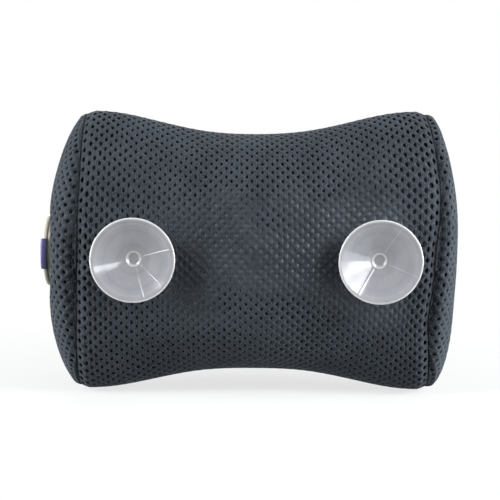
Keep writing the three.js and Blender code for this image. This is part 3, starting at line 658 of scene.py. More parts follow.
def touch_wrap(x, up):
    """How closely the liner lies under the wrap, at x along it and up around it from the wall side."""
    oval = np.hypot((x - TOUCH_MIDDLE[0]) / TOUCH_REACH[0], (up - TOUCH_MIDDLE[1]) / TOUCH_REACH[1])
    near = TOUCH_LEVEL / (1 + np.exp((oval - 0.97) * 9))
    along, above, reach, rise, strength = TOUCH_PATCHES.T
    spots = np.exp(-((x[..., None] - along) / reach) ** 2 - ((up[..., None] - above) / rise) ** 2)
    waves = np.sin(x / 13 + 2 * np.sin(up / 31)) * np.sin(up / 11 + 1.7 * np.sin(x / 37))
    far = 0.42 + 0.5 * np.sin(x / 23 + 1) * np.sin(up / 17 + 2 * np.sin(x / 41))
    hidden = 1 / (1 + np.exp((HIDDEN_FROM - np.abs(up)) / 8))
    shown = near + spots @ strength + TOUCH_WAVE * waves
    ends = np.exp(-(((SEAM_SPAN - np.abs(x)) / 9) ** 2))
    return np.clip((shown * (1 - hidden) + far * hidden) * (1 - ends), 0, 1)


sample_x, sample_up = np.meshgrid(np.linspace(-110, 110, 45), np.linspace(-90, 90, 37))
print("mean touch on the wall side", touch_wrap(sample_x, sample_up).mean().round(2))

# %% [markdown]
# ## Mesh cloth
#
# The cover is a knitted mesh with oval holes in staggered rows, about 6.8 mm apart along a row and 3.4 mm
# from row to row. A bump map would leave the holes shut, and their black shadows are what the eye sees
# first, so they are modelled. The cloth is a lattice of diamond cells that share their corners. Each
# cell has a ring of eight points on its hole's front edge and one on its back edge, and the cell dips
# a little towards the hole, as knitted yarn does. Everything is a formula on whole arrays: lattice
# numbers give cloth coordinates, and those give a place on the spline skin.

# %% Lattice to cloth
HOLE_HALF_WIDTH = 0.96
HOLE_HALF_HEIGHT = 1.5
CLOTH_THICKNESS = 0.5
HOLE_DIP = 0.15
ring_angle = np.arange(8) * np.pi / 4
rng = np.random.default_rng(20)


def hole_rings(centre, scale):
    """Eight points on an oval round each cell's centre, each a little turned, sized and shifted at random."""
    count = len(centre)
    size = scale[:, None] * rng.normal(1, 0.07, (count, 2))
    tilt = rng.normal(0.06, 0.1, count)
    shift = rng.normal(0, 0.08, (count, 2))
    across = np.cos(ring_angle) * HOLE_HALF_WIDTH * size[:, :1]
    upward = np.sin(ring_angle) * HOLE_HALF_HEIGHT * size[:, 1:]
    cos, sin = np.cos(tilt)[:, None], np.sin(tilt)[:, None]
    ring = np.stack([across * cos + upward * sin, upward * cos - across * sin], -1)
    return centre[:, None, :] + shift[:, None, :] + ring


def cloth_sheet(nodes, cells, holed, centres, scale, place):
    """A closed sheet with holes: nodes are the cells' corners in cloth coordinates, cells lists east, north,
    west and south corners, holed marks the cells with a hole, and place(cloth, lift) gives points."""
    used, cells = np.unique(cells, return_inverse=True)
    cells = cells.reshape(-1, 4)
    nodes = nodes[used]
    count, holes = len(nodes), int(holed.sum())
    rings = hole_rings(centres, scale).reshape(-1, 2)
    cloth = np.concatenate([nodes, rings, rings, nodes])
    heights = [0.0, -HOLE_DIP, HOLE_DIP - CLOTH_THICKNESS, -CLOTH_THICKNESS]
    lift = np.repeat(heights, [count, 8 * holes, 8 * holes, count])
    front = count + np.arange(8 * holes).reshape(-1, 8)
    back = front + 8 * holes
    under = count + 16 * holes
    outline = cells[holed]
    ring_step = np.arange(4) * 2
    fans = []
    for corners, ring in ((outline, front), (outline + under, back)):
        here, beyond = corners, np.roll(corners, -1, 1)
        first = ring[:, ring_step]
        second = ring[:, ring_step + 1]
        third = ring[:, (ring_step + 2) % 8]
        trio = ((here, beyond, second), (here, second, first), (beyond, third, second))
        fans.append(np.concatenate([np.stack(t, -1) for t in trio], 1).reshape(-1, 3))
    plain = cells[~holed]
    walls = np.stack([front, np.roll(front, -1, 1), np.roll(back, -1, 1), back], -1).reshape(-1, 4)
    edge_from, edge_to = cells.ravel(), np.roll(cells, -1, 1).ravel()
    total = count + 1
    rim = ~np.isin(edge_from * total + edge_to, edge_to * total + edge_from)
    a, b = edge_from[rim], edge_to[rim]
    hem = np.stack([b, a, a + under, b + under], -1)
    faces = [fans[0], fans[1][:, ::-1], plain, plain[:, ::-1] + under, walls, hem]
    return place(cloth, lift), [f for f in faces if len(f)], cloth


def cloth_corners(cloth, faces, period=None):
    """Cloth coordinates at every face corner, with the jump taken out where the cloth closes on itself."""
    corners = [cloth[f] for f in faces]
    if period:
        for uv in corners:
            round_ = uv[..., 1]
            jump = np.ptp(round_, axis=1) > period / 2
            round_[jump] += np.where(round_[jump] < period / 2, period, 0)
    return corners


print("hole", 2 * HOLE_HALF_WIDTH, "by", 2 * HOLE_HALF_HEIGHT, "mm")

# %% Mesh finish
# Painted shade: the cloth's colour is darkened in a band beside each seam, standing in for the groove's
# shadow.
PAINTED_SEAM_SHADE = 0.3
PAINTED_SEAM_SHADE_WIDTH = 3.4
PAINTED_SEAM_SHADE_STRETCHED = 0.3  # share of the painted shade that is left over the top and the bottom
PANEL_PAINTED_SHADE = 0.35  # the panels get less of the painted shade than the wrap


def most_on_flat_sides(turn, least):
    """1 on the pillow's flat sides, falling to least over the top and the bottom as a squared cosine."""
    return least + (1 - least) * np.cos(2 * np.pi * turn) ** 2


def painted_seam_shade(gap, turn):
    """Painted shade at a distance from the seam, standing in for the groove's shadow: a bell curve, full on
    the flat sides.
    """
    return most_on_flat_sides(turn, PAINTED_SEAM_SHADE_STRETCHED) * np.exp(-((gap / PAINTED_SEAM_SHADE_WIDTH) ** 2))


def mesh_finish():
    """Charcoal knit: fine courses and wales in the bump, yarn tones, and a soft sheen. The attribute `seam`
    makes the colour darker beside the seams: painted shade for the shadow in the seam's groove."""
    finish = Finish("charcoal_mesh", {
        "Roughness": 0.82, "Specular IOR Level": 0.16, "Sheen Weight": 0.16, "Sheen Roughness": 0.45,
        "Sheen Tint": (0.62, 0.7, 0.8, 1),
    })
    knit = finish.place("UV")
    courses = finish.bands(knit, 0.85, "Y", 1.2)
    wales = finish.bands(knit, 1.13, "X", 1.5)
    loops = finish.math("MULTIPLY", courses, wales)
    cloud = finish.noise(finish.place(), 26.0, 4.0)
    fuzz = finish.noise(finish.place(), 0.7, 2.0)
    grain = finish.noise(finish.place(), 1.3, 1.0)
    blend = finish.math("ADD", finish.math("MULTIPLY", cloud, 0.35), finish.math("MULTIPLY", grain, 0.45))
    yarn = finish.math("ADD", finish.math("MULTIPLY", loops, 0.3), blend)
    # painted shade: the seam attribute darkens the tone beside the seams
    seam = finish.node("Attribute", {"attribute_name": "seam"}).outputs["Fac"]
    tone = finish.math("SUBTRACT", yarn, finish.math("MULTIPLY", seam, PAINTED_SEAM_SHADE))
    finish.colour(finish.ramp(tone, (0.014, 0.018, 0.023), (0.072, 0.084, 0.1), 0.28, 0.72))
    relief = finish.math("ADD", loops, finish.math("MULTIPLY", fuzz, 0.6))
    finish.bump(relief, 0.16, 0.8)
    finish.rough(fuzz, 0.74, 0.9)
    return finish.material


charcoal_mesh = mesh_finish()
print("finish:", charcoal_mesh.name)

# %% Wrap of mesh cloth
ROWS = 132
HALF_PITCHES = 70
ROW_PITCH = 3.4
GROOVE_DEPTH = 3.0
GROOVE_WIDTH = 3.6
SEAM_SHIFT = 0.9  # the outermost holes lie this much nearer to the seam than their cells
GROOVE_STRETCHED = 0.25  # share of the groove's depth that is left over the top and the bottom
RIDGE_HEIGHT = 0.35
RIDGE_PLACE = 5.0
PUCKER = 0.3
RIDGE_WIDTH = 3.0
LUMP_HEIGHT = 0.55
EYELET_PULL = 0.5
half_pitch = 2 * SEAM_SPAN / HALF_PITCHES
outline_length = arc_table(wrap_depth, wrap_height)[2]


def seam_relief(gap, turn):
    """How far cloth lies below the form at a distance from the seam: a groove puckered by two sines, deepest
    on the flat sides and shallow over the top and bottom, where cloth is stretched, and a ridge beside it."""
    depth = GROOVE_DEPTH * most_on_flat_sides(turn, GROOVE_STRETCHED)
    depth *= 1 + PUCKER * np.sin(46 * np.pi * turn + 1) * np.sin(26 * np.pi * turn)
    ridge = RIDGE_HEIGHT * np.exp(-(((gap - RIDGE_PLACE) / RIDGE_WIDTH) ** 2))
    return depth * np.exp(-((gap / GROOVE_WIDTH) ** 2)) - ridge


def up_from_wall_side(x, turn):
    """Arc length above the middle line of the wall side."""
    return (0.5 - turn) * np.interp(x, wrap_x, outline_length)


def wrap_place(cloth, lift):
    """Cloth coordinates (x, row times pitch) on the spline skin, moved along its normal."""
    x = cloth[..., 0]
    turn = (cloth[..., 1] / (ROWS * ROW_PITCH)) % 1
    point, normal = on_net(wrap_net, (x + SEAM_SPAN) / (2 * SEAM_SPAN) * (WRAP_RINGS - 1), turn)
    lump = LUMP_HEIGHT * (touch_wrap(x, up_from_wall_side(x, turn)) - 0.5)
    pull = EYELET_PULL * np.exp(-((from_cup_axis(point) / 14) ** 4))
    sink = seam_relief(SEAM_SPAN - np.abs(x), turn) - lump + pull
    return point + normal * (lift - sink)[..., None]


EYELET_HOLE = 5.2
EYELET_PLAIN = 6.5
WRAP_HOLES = 0.95  # size of the holes, and how much larger they are beside the seams
WRAP_HOLES_GAIN = 0.25


def from_eyelets(cloth):
    """Offset of cloth points from the nearer cup's axis, in cloth coordinates, and its length."""
    axis = np.stack([np.sign(cloth[:, 0]) * CUP_SPACING, np.full(len(cloth), ROWS * ROW_PITCH / 2)], -1)
    return axis, cloth - axis, np.linalg.norm(cloth - axis, axis=1)


lattice_m, lattice_j = np.meshgrid(np.arange(HALF_PITCHES + 1), np.arange(ROWS), indexing="ij")
wrap_nodes = np.stack([lattice_m * half_pitch - SEAM_SPAN, lattice_j * ROW_PITCH], -1)
wrap_nodes = wrap_nodes.reshape(-1, 2).astype(float)
eyelet_axis, eyelet_off, eyelet_gap = from_eyelets(wrap_nodes)
pushed = eyelet_axis + eyelet_off * (EYELET_HOLE / np.maximum(eyelet_gap, 0.1))[:, None]
wrap_nodes = np.where((eyelet_gap < EYELET_HOLE)[:, None], pushed, wrap_nodes)
is_cell = (lattice_m + lattice_j) % 2 == 0
cell_m, cell_j = lattice_m[is_cell], lattice_j[is_cell]
cell_gap = from_eyelets(np.stack([cell_m * half_pitch - SEAM_SPAN, cell_j * ROW_PITCH], -1))[2]
whole = cell_gap > EYELET_HOLE / 2
cell_m, cell_j, cell_gap = cell_m[whole], cell_j[whole], cell_gap[whole]
east = np.minimum(cell_m + 1, HALF_PITCHES) * ROWS + cell_j
west = np.maximum(cell_m - 1, 0) * ROWS + cell_j
north = cell_m * ROWS + (cell_j + 1) % ROWS
south = cell_m * ROWS + (cell_j - 1) % ROWS
wrap_cells = np.stack([east, north, west, south], -1)
wrap_holed = (cell_m > 0) & (cell_m < HALF_PITCHES) & (cell_gap > EYELET_PLAIN)
wrap_centres = np.stack([cell_m * half_pitch - SEAM_SPAN, cell_j * ROW_PITCH], -1)[wrap_holed].astype(float)
wrap_centres[:, 0] += SEAM_SHIFT * np.sign(wrap_centres[:, 0]) * (SEAM_SPAN - np.abs(wrap_centres[:, 0]) < 4)
near_seam = np.exp(-(((SEAM_SPAN - np.abs(wrap_centres[:, 0])) / 30) ** 2))
wrap_scale = WRAP_HOLES + WRAP_HOLES_GAIN * near_seam
wrap_points, wrap_faces, wrap_cloth = cloth_sheet(
    wrap_nodes, wrap_cells, wrap_holed, wrap_centres, wrap_scale, wrap_place
)
# painted shade beside the seams, kept on the wrap as the attribute `seam`
wrap_painted_shade = painted_seam_shade(SEAM_SPAN - np.abs(wrap_cloth[:, 0]), wrap_cloth[:, 1] / (ROWS * ROW_PITCH))
mesh_wrap = add_piece(
    "mesh_cover_wrap", wrap_points, wrap_faces, charcoal_mesh, "pillow", ["mesh_wrap"], "mesh_fabric",
    corner_uv=cloth_corners(wrap_cloth, wrap_faces, ROWS * ROW_PITCH), tags={"seam": wrap_painted_shade},
)

# %% [markdown]
# ## End panels
#
# The end panels are the same cloth, cut as ovals and eased over a dome. The lattice is laid on the flat
# oval: distance from its rim is arc length down the dome, so the cells keep their size where the dome
# is steep. Corners that fall outside the cut, or inside the pocket's mouth, are pushed back to the
# edge, and the cells there stay whole.

# %% Flat oval to dome


def dome_arc(bulge, power, crown_radius, reach):
    """Lengths along a dome's meridian from the seam towards the crown, for a seam at that reach."""
    lift = np.linspace(0, 1, 400)
    spread = np.cos(np.pi / 2 * lift)
    out = (1 - spread) * crown_radius + spread * reach
    rise = bulge * np.sin(np.pi / 2 * lift) ** power
    return lift, np.r_[0, np.cumsum(np.hypot(np.diff(out), np.diff(rise)))]


class Panel:
    """An end panel's flat cut and its dome."""

    def __init__(self, net, side, bulge, power, crown_radius):
        self.net, self.side, self.crown_radius = net, side, crown_radius
        self.depth_arc = dome_arc(bulge, power, crown_radius, seam_depth[0])[1][-1]
        self.height_arc = dome_arc(bulge, power, crown_radius, seam_height[0])[1][-1]
        self.lift, arc = dome_arc(bulge, power, crown_radius, (seam_depth[0] + seam_height[0]) / 2)
        self.share = arc / arc[-1]

    def cut(self, inward):
        """Half axes of the flat oval at a share of the way from the rim (0) to the crown (1)."""
        return [self.crown_radius + (1 - inward) * arc for arc in (self.depth_arc, self.height_arc)]

    def inward(self, flat):
        """Share of the way from rim to crown at flat coordinates, by halving the interval 40 times."""
        low, high = np.full(len(flat), -1.0), np.ones(len(flat))
        for _ in range(40):
            middle = (low + high) / 2
            depth, height = self.cut(middle)
            outside = np.hypot(flat[:, 0] / depth, flat[:, 1] / height) > 1
            high = np.where(outside, middle, high)
            low = np.where(outside, low, middle)
        return (low + high) / 2

    def around(self, flat):
        """Share of the way inward, and share of a turn by arc length, at flat coordinates."""
        inward = np.clip(self.inward(flat), 0, 1)
        depth, height = self.cut(inward)
        angle = np.arctan2(flat[:, 1] / height, flat[:, 0] / depth) % (2 * np.pi)
        table_angle, table_share, _ = arc_table(seam_depth, seam_height)
        return inward, np.interp(angle, table_angle, table_share[0]) % 1

    def place(self, flat, lift):
        """Flat coordinates on the dome, with the seam's groove, moved along the normal."""
        inward, turn = self.around(flat)
        along = np.interp(inward, self.share, self.lift) * (PANEL_RINGS - 1)
        ring = along if self.side > 0 else PANEL_RINGS - 1 - along
        point, normal = on_net(self.net, ring, turn)
        sink = seam_relief(inward * self.meridian(flat), turn)
        return point + normal * (lift - sink)[:, None]

    def meridian(self, flat):
        """Length of the way from the rim to the crown, through the flat point."""
        angle = np.arctan2(flat[:, 1], flat[:, 0])
        return 1 / np.hypot(np.cos(angle) / self.depth_arc, np.sin(angle) / self.height_arc)


left_panel = Panel(left_net, -1, LEFT_BULGE, LEFT_POWER, MOUTH_RADIUS)
right_panel = Panel(right_net, 1, RIGHT_BULGE, RIGHT_POWER, RIGHT_CROWN_RADIUS)
print("left cut", np.round(left_panel.cut(0), 1), "right cut", np.round(right_panel.cut(0), 1))

# %% Panels of mesh cloth
HOLE_MARGIN = 1.0  # least room from a hole's middle to the cut
WHOLE_HOLE = 2.1  # room that a hole of full size needs
PANEL_HOLES = 0.62  # size of the holes, and how much larger they are beside the edges
PANEL_HOLES_GAIN = 0.42


def panel_piece(name, panel, node):
    """Lays the lattice on the flat cut, with an outermost column just inside it, pushes stray corners to the
    edge, and places it on the dome."""
    reach = [int(axis / ROW_PITCH) + 2 for axis in panel.cut(0)]
    m, j = np.meshgrid(np.arange(-reach[0], reach[0] + 1), np.arange(-reach[1], reach[1] + 1), indexing="ij")
    widest = panel.cut(0)[0] - WHOLE_HOLE
    column_pitch = widest / round(widest / ROW_PITCH)
    flat = np.stack([m * column_pitch, j * ROW_PITCH], -1).reshape(-1, 2)
    tall = 2 * reach[1] + 1
    inward = panel.inward(flat)
    inside = ((inward > 0) & (inward < 0.995)).reshape(m.shape)
    edge = np.clip(inward, 0, 1)
    depth, height = panel.cut(edge)
    size = np.hypot(flat[:, 0] / depth, flat[:, 1] / height)
    nodes = flat / np.where(inside.ravel(), 1, np.maximum(size, 1e-6))[:, None]
    centre = np.flatnonzero(((m + j) % 2 == 0)[1:-1, 1:-1].ravel())
    row, column = np.unravel_index(centre, (m.shape[0] - 2, m.shape[1] - 2))
    at = (row + 1) * tall + column + 1
    cells = np.stack([at + tall, at + 1, at - tall, at - 1], -1)
    flags = inside.ravel()[cells]
    kept = flags.any(1)
    at, cells, flags = at[kept], cells[kept], flags[kept]
    room = np.minimum(inward[at], 1 - inward[at]) * panel.meridian(flat[at])
    holed = room > HOLE_MARGIN
    relaxed = PANEL_HOLES + PANEL_HOLES_GAIN * np.exp(-((room[holed] / 10) ** 2))
    scale = relaxed * np.clip(room[holed] / WHOLE_HOLE, 0, 1)
    points, faces, cloth = cloth_sheet(nodes, cells, holed, flat[at[holed]], scale, panel.place)
    # painted shade beside the seam, weaker on the panels than on the wrap
    way_inward, turn = panel.around(cloth)
    piece = add_piece(
        name, points, faces, charcoal_mesh, "pillow", [node], "mesh_fabric",
        corner_uv=cloth_corners(cloth, faces),
        tags={"seam": PANEL_PAINTED_SHADE * painted_seam_shade(way_inward * panel.meridian(cloth), turn)},
    )


panel_piece("mesh_cover_left", left_panel, "left_end_panel")
panel_piece("mesh_cover_right", right_panel, "right_end_panel")

# %% [markdown]
# ## Seams
#
# Wrap and panel are sewn with their edges turned in, so the seam is a groove with the folded edges
# standing up in it as a narrow ridge, over a tape on the inside. The piece is one closed profile, a tape
# with a rounded ridge in its middle, carried round the seam's oval, with a slight gather from the stitches.

# %% Seam tapes
SEAM_PROFILE = np.array([
    # along the pillow from the seam, and below the seam oval
    [-2.8, 4.2], [-2.6, 3.3], [-1.3, 3.2], [-0.72, 2.9], [-0.6, 2.8], [-0.35, 2.65], [0.0, 2.6],
    [0.35, 2.65], [0.6, 2.8], [0.72, 2.9], [1.3, 3.2], [2.6, 3.3], [2.8, 4.2],
])
TWILL_SLANT = 0.7
GATHERS = 96
GATHER_DEPTH = 0.1
RIDGE_FOOT = 2.85


def tape_finish():
    """Woven tape: a twill of slanted ribs in the bump and slightly lighter ribs in the colour."""
    finish = Finish("woven_tape", {"Roughness": 0.8, "Specular IOR Level": 0.2, "Sheen Weight": 0.2})
    where = finish.place()
    slanting = {"Vector": where, "Angle": TWILL_SLANT}
    slant = finish.node("VectorRotate", {"rotation_type": "X_AXIS"}, slanting).outputs[0]
    ribs = finish.bands(slant, 0.8, "Z", 0.8)
    cross = finish.bands(where, 0.9, "X", 0.8)
    weave = finish.math("MULTIPLY", ribs, cross)
    finish.colour(finish.ramp(weave, (0.018, 0.021, 0.026), (0.05, 0.058, 0.068)))
    finish.bump(weave, 0.15)
    return finish.material


woven_tape = tape_finish()


def seam_tape(name, side, node):
    """The profile's offsets taken inward from the seam oval, with a gather that goes round as a cosine."""
    turns = np.arange(4 * GATHERS) / (4 * GATHERS)
    angle = even_angles(seam_depth, seam_height, turns)[0]
    gather = 1 + GATHER_DEPTH * np.cos(2 * np.pi * GATHERS * turns)
    below = SEAM_PROFILE[:, 1:] * np.where(SEAM_PROFILE[:, 1:] < RIDGE_FOOT, gather, 1)
    y = PILLOW_MIDDLE + (seam_depth - below) * np.cos(angle)
    z = (seam_height - below) * np.sin(angle)
    x = side * (SEAM_SPAN + 0.15) + np.broadcast_to(SEAM_PROFILE[:, :1], y.shape)
    grid = settle(np.stack([x, y, z], -1))
    loop = np.concatenate([grid, grid[:1]])
    points, faces = skin(loop)
    last_ring = len(SEAM_PROFILE) * len(turns)
    faces = [np.where(f >= last_ring, f - last_ring, f) for f in faces]
    add_piece(name, points[:last_ring], faces, woven_tape, "pillow", [node], "binding_tape", crease=50)


seam_tape("left_seam_tape", -1, "left_seam_binding")
seam_tape("right_seam_tape", 1, "right_seam_binding")

# %% [markdown]
# ## Liner and beads
#
# Under the mesh is a bag of shiny film, full of beads. Only its spots behind the holes are seen, but
# they give the cover its life: pale where the film lies against the mesh, and dark where it hangs
# back. Its finish paints that pale and dark into the film's colour as well, as painted highlight and
# painted shade. The bag follows the cover at a distance that grows as `touch` falls, is dented by the
# cups' mushroom heads, and has a sleeve for the massager's pocket. The beads are one body inside it.

# %% Liner
LINER_COLUMNS = 180
LINER_CLEARANCE = 0.1
LINER_HANG = 1.1
CORNER_HANG = 3.2
CORNER_WIDTH = 4.5
CREST_SHIFT = 3.0
CREST_REACH = 14.0
CREST_SHARE = 0.95
HEAD_DENT = 9.6
DENT_RADIUS = 12.0
SLEEVE_RINGS = 16
SLEEVE_RADIUS = 24.0
SLEEVE_END = -13.0
NECK_START = 0.1


def hang_back(points, touch):
    """Distance of the film behind the mesh's back: less where it touches and over the top and bottom crest,
    where one would else see through, and more in seam corners and dents."""
    gap = np.abs(np.abs(points[..., 0] - seam_drift(points)) - SEAM_SPAN)
    flat_side = np.minimum(((points[..., 1] - PILLOW_MIDDLE) / END_HALF_DEPTH) ** 2, 1)
    corner = CORNER_HANG * flat_side * np.exp(-((gap / CORNER_WIDTH) ** 4))
    dent = HEAD_DENT / (1 + np.exp((from_cup_axis(points) - DENT_RADIUS) / 1.5))
    crest = np.exp(-(((points[..., 1] - PILLOW_MIDDLE - CREST_SHIFT) / CREST_REACH) ** 2))
    hang = LINER_HANG * (1 - touch) ** 1.5 * (1 - CREST_SHARE * crest)
    return LINER_CLEARANCE + hang + corner + dent


def bag_rings(extra):
    """Rings of the bag from the sleeve's blind end, out along it, over the form and to the right crown."""
    turns = np.arange(LINER_COLUMNS) / LINER_COLUMNS
    parts = []
    tags = []
    for net, ring_line in ((left_net, np.linspace(NECK_START, 0.999, 20) * (PANEL_RINGS - 1)),
                           (wrap_net, np.linspace(0, 1, 110) * (WRAP_RINGS - 1)),
                           (right_net, np.linspace(0.001, 0.93, 20) * (PANEL_RINGS - 1))):
        ring, turn = np.meshgrid(ring_line, turns, indexing="ij")
        point, normal = on_net(net, ring, turn)
        touch = touch_wrap(point[..., 0], up_from_wall_side(point[..., 0], turn))
        if net is not wrap_net:
            speckle = np.sin(point[..., 1] / 6.1 + point[..., 2] / 9.7) * np.sin(point[..., 2] / 7.3 + 1)
            touch = np.clip(0.45 + 0.5 * speckle, 0, 1) * np.clip((np.abs(point[..., 0]) - 124) / 8, 0, 1)
        parts.append(point - normal * (CLOTH_THICKNESS + hang_back(point, touch) + extra)[..., None])
        tags.append(touch)
    body = np.concatenate(parts)
    along = np.linspace(SLEEVE_END + extra, body[0, :, 0].mean() + 2.5, SLEEVE_RINGS)
    first_angle = np.arctan2(body[0, :, 2], body[0, :, 1] - PILLOW_MIDDLE)
    radius = np.full(SLEEVE_RINGS, SLEEVE_RADIUS + extra)
    sleeve = oval_rings(along, radius, radius, np.tile(first_angle, (SLEEVE_RINGS, 1)))
    touch = np.concatenate([np.zeros((SLEEVE_RINGS, LINER_COLUMNS)), *tags])
    return np.concatenate([sleeve, body]), touch


def film_finish():
    """Shiny grey film with fine wrinkles. Its colour is painted light and shade: near black where `touch` is
    low and the film hangs back, for the shadow there, and pale grey in noise blots where it lies against
    the mesh, for its highlights.
    """
    finish = Finish("liner_film", {"Roughness": 0.42, "Specular IOR Level": 0.2})
    touch = finish.node("Attribute", {"attribute_name": "touch"}).outputs["Fac"]
    # painted highlight and shade: touch times noise blots sets the film's colour from near black to pale grey
    beads = finish.noise(finish.place(), 3.2, 1.0)
    painted_highlight_noise = finish.math("ADD", finish.math("MULTIPLY", beads, 1.8), 0.05)
    painted_highlight_and_shade = finish.math("MULTIPLY", touch, painted_highlight_noise)
    finish.colour(finish.ramp(painted_highlight_and_shade, (0.003, 0.004, 0.005), (0.36, 0.39, 0.44), 0.12, 0.9))
    finish.bump(finish.noise(finish.place(), 2.4, 2.0), 0.5)
    return finish.material


def bag_piece(name, extra, finish, node, slot):
    """Closes the rings with a point at the sleeve's blind end and one at the right crown."""
    grid, touch = bag_rings(extra)
    first, last = grid[0].mean(0), grid[-1].mean(0)
    points, faces = skin(grid, first, last)
    values = np.r_[touch.ravel(), 0, touch[-1].mean()]
    return add_piece(name, points, faces, finish, "pillow", [node], slot, tags={"touch": values})


liner = bag_piece("liner_bag", 0.0, film_finish(), "bead_liner", "liner_vinyl")

# %% Beads
BEAD_SIZE = 2.8
BEAD_CLEARANCE = 1.2


def bead_finish():
    """Packed white beads: round cells in the bump and faint shade between them."""
    finish = Finish("foam_beads", {"Roughness": 0.7, "Specular IOR Level": 0.3})
    inputs = {"Vector": finish.place(), "Scale": 1 / BEAD_SIZE}
    cells = finish.node("TexVoronoi", None, inputs).outputs["Distance"]
    finish.colour(finish.ramp(cells, (0.86, 0.85, 0.81), (0.6, 0.6, 0.58), 0.2, 0.75))
    finish.bump(finish.math("SUBTRACT", 1.0, cells), 0.9)
    return finish.material


beads = bag_piece("bead_body", BEAD_CLEARANCE, bead_finish(), "bead_filling", "bead_fill")

# %% [markdown]
# ## Round pieces
#
# Cups, eyelets, pocket and massager are all turned: a profile of radius and height carried once round
# an axis. A wave of the radius or the height with the angle turns a plain turning into a ribbed or
# gathered one. Where a profile starts or ends on the axis, the helper closes it with a single point.

# %% Turning


def turned(profile, angles, origin, along, aside, wave=None):
    """Carries profile (radius, height) round the line from origin in direction along; aside is angle 0.
    wave(radius, height, angle) may return a changed radius and height."""
    along, aside = np.array(along, float), np.array(aside, float)
    third = np.cross(along, aside)
    profile = np.asarray(profile, float)
    on_axis = profile[:, 0] < 1e-6
    body = profile[~on_axis]
    radius = np.broadcast_to(body[:, :1], (len(body), len(angles)))
    height = np.broadcast_to(body[:, 1:], radius.shape)
    if wave:
        radius, height = wave(radius, height, angles[None, :])
    turn = np.cos(angles)[:, None] * aside + np.sin(angles)[:, None] * third
    grid = np.array(origin, float) + radius[..., None] * turn + height[..., None] * along
    ends = [np.array(origin) + profile[k, 1] * along if on_axis[k] else None for k in (0, -1)]
    return skin(grid, *ends)


def closed_turned(profile, angles, origin, along, aside, wave=None):
    """As turned, for a profile that is a closed loop round a hollow middle."""
    points, faces = turned(np.vstack([profile, profile[:1]]), angles, origin, along, aside, wave)
    last_ring = len(profile) * len(angles)
    return points[:last_ring], [np.where(f >= last_ring, f - last_ring, f) for f in faces]


def even_turn(count):
    """Angles at even steps of one turn."""
    return np.arange(count) * 2 * np.pi / count


def rounded(profile, radius, steps=4):
    """Replaces each inner corner of a profile by an arc-like curve that starts radius before the corner."""
    corner, before, after = profile[1:-1], profile[:-2], profile[2:]
    reach = np.minimum(radius, 0.45 * np.minimum(
        np.linalg.norm(before - corner, axis=1), np.linalg.norm(after - corner, axis=1)))[:, None]
    start = corner + reach * (before - corner) / np.linalg.norm(before - corner, axis=1)[:, None]
    end = corner + reach * (after - corner) / np.linalg.norm(after - corner, axis=1)[:, None]
    t = np.linspace(0, 1, steps)[None, :, None]
    curve = (1 - t) ** 2 * start[:, None] + 2 * t * (1 - t) * corner[:, None] + t**2 * end[:, None]
    return np.vstack([profile[:1], curve.reshape(-1, 2), profile[-1:]])


print("even turn of 8:", even_turn(8).round(2).tolist())

# %% [markdown]
# ## Suction cups
#
# A suction cup is one moulding of soft clear vinyl: a flared hollow, a thin lip, and behind it a stem
# with a mushroom head that holds it in the eyelet. In the photograph it looks milky, with a bright lip,
# two bright rings round the stem, streaks that run from the stem to the lip, and thin flow lines left by
# the mould. The streaks come by themselves, because a cone mirrors a lamp as a line. The flow lines are
# small ribs on the hollow. The light that clear vinyl gathers in its edges is painted: an attribute marks
# the lip, the rings and the ribs, and the finish is whiter there, as painted highlights.

# %% Cup form
CUP_RADIUS = 27.5
LIP_WIDTH = 1.6
HOLLOW_DEPTH = 10.0
HOLLOW_FLARE = 1.3
CROWN_WALL = 2.6
LIP_WALL = 1.2
SHOULDER = (5.5, 13.6)
NECK_RADIUS = 3.5
HEAD_FACE = 18.9
HEAD_RADIUS = 6.5
HEAD_EDGE = 20.6
CUP_END = 23.4
DISC_RADIUS = 3.6
DISC_STEP = 0.5
STEM_RING = 4.6
FLOW_LINES = {"left": [17, -40, -72], "right": [59, -22, -124]}  # degrees, from the right, upwards
FLOW_RISE = 0.22
FLOW_WIDTH = 0.3
FLOW_START = 6.5
FLOW_GLOW = 0.18
RIPPLE = 0.035
LIP_GLOW = 0.65
EDGE_RINGS = np.array([
    # radius on the hollow's face, half width, whiteness: painted highlight where positive, darker where
    # negative
    [STEM_RING, 0.55, 0.85], [DISC_RADIUS, 0.3, 0.35], [23.6, 0.5, 0.1], [19.0, 1.1, -0.05],
    [9.6, 1.0, -0.06],
])


def hollow(radius):
    """Depth of the hollow: full in the middle and 0 at the lip, by a power of the radius."""
    return HOLLOW_DEPTH * (1 - (radius / (CUP_RADIUS - LIP_WIDTH)) ** HOLLOW_FLARE)


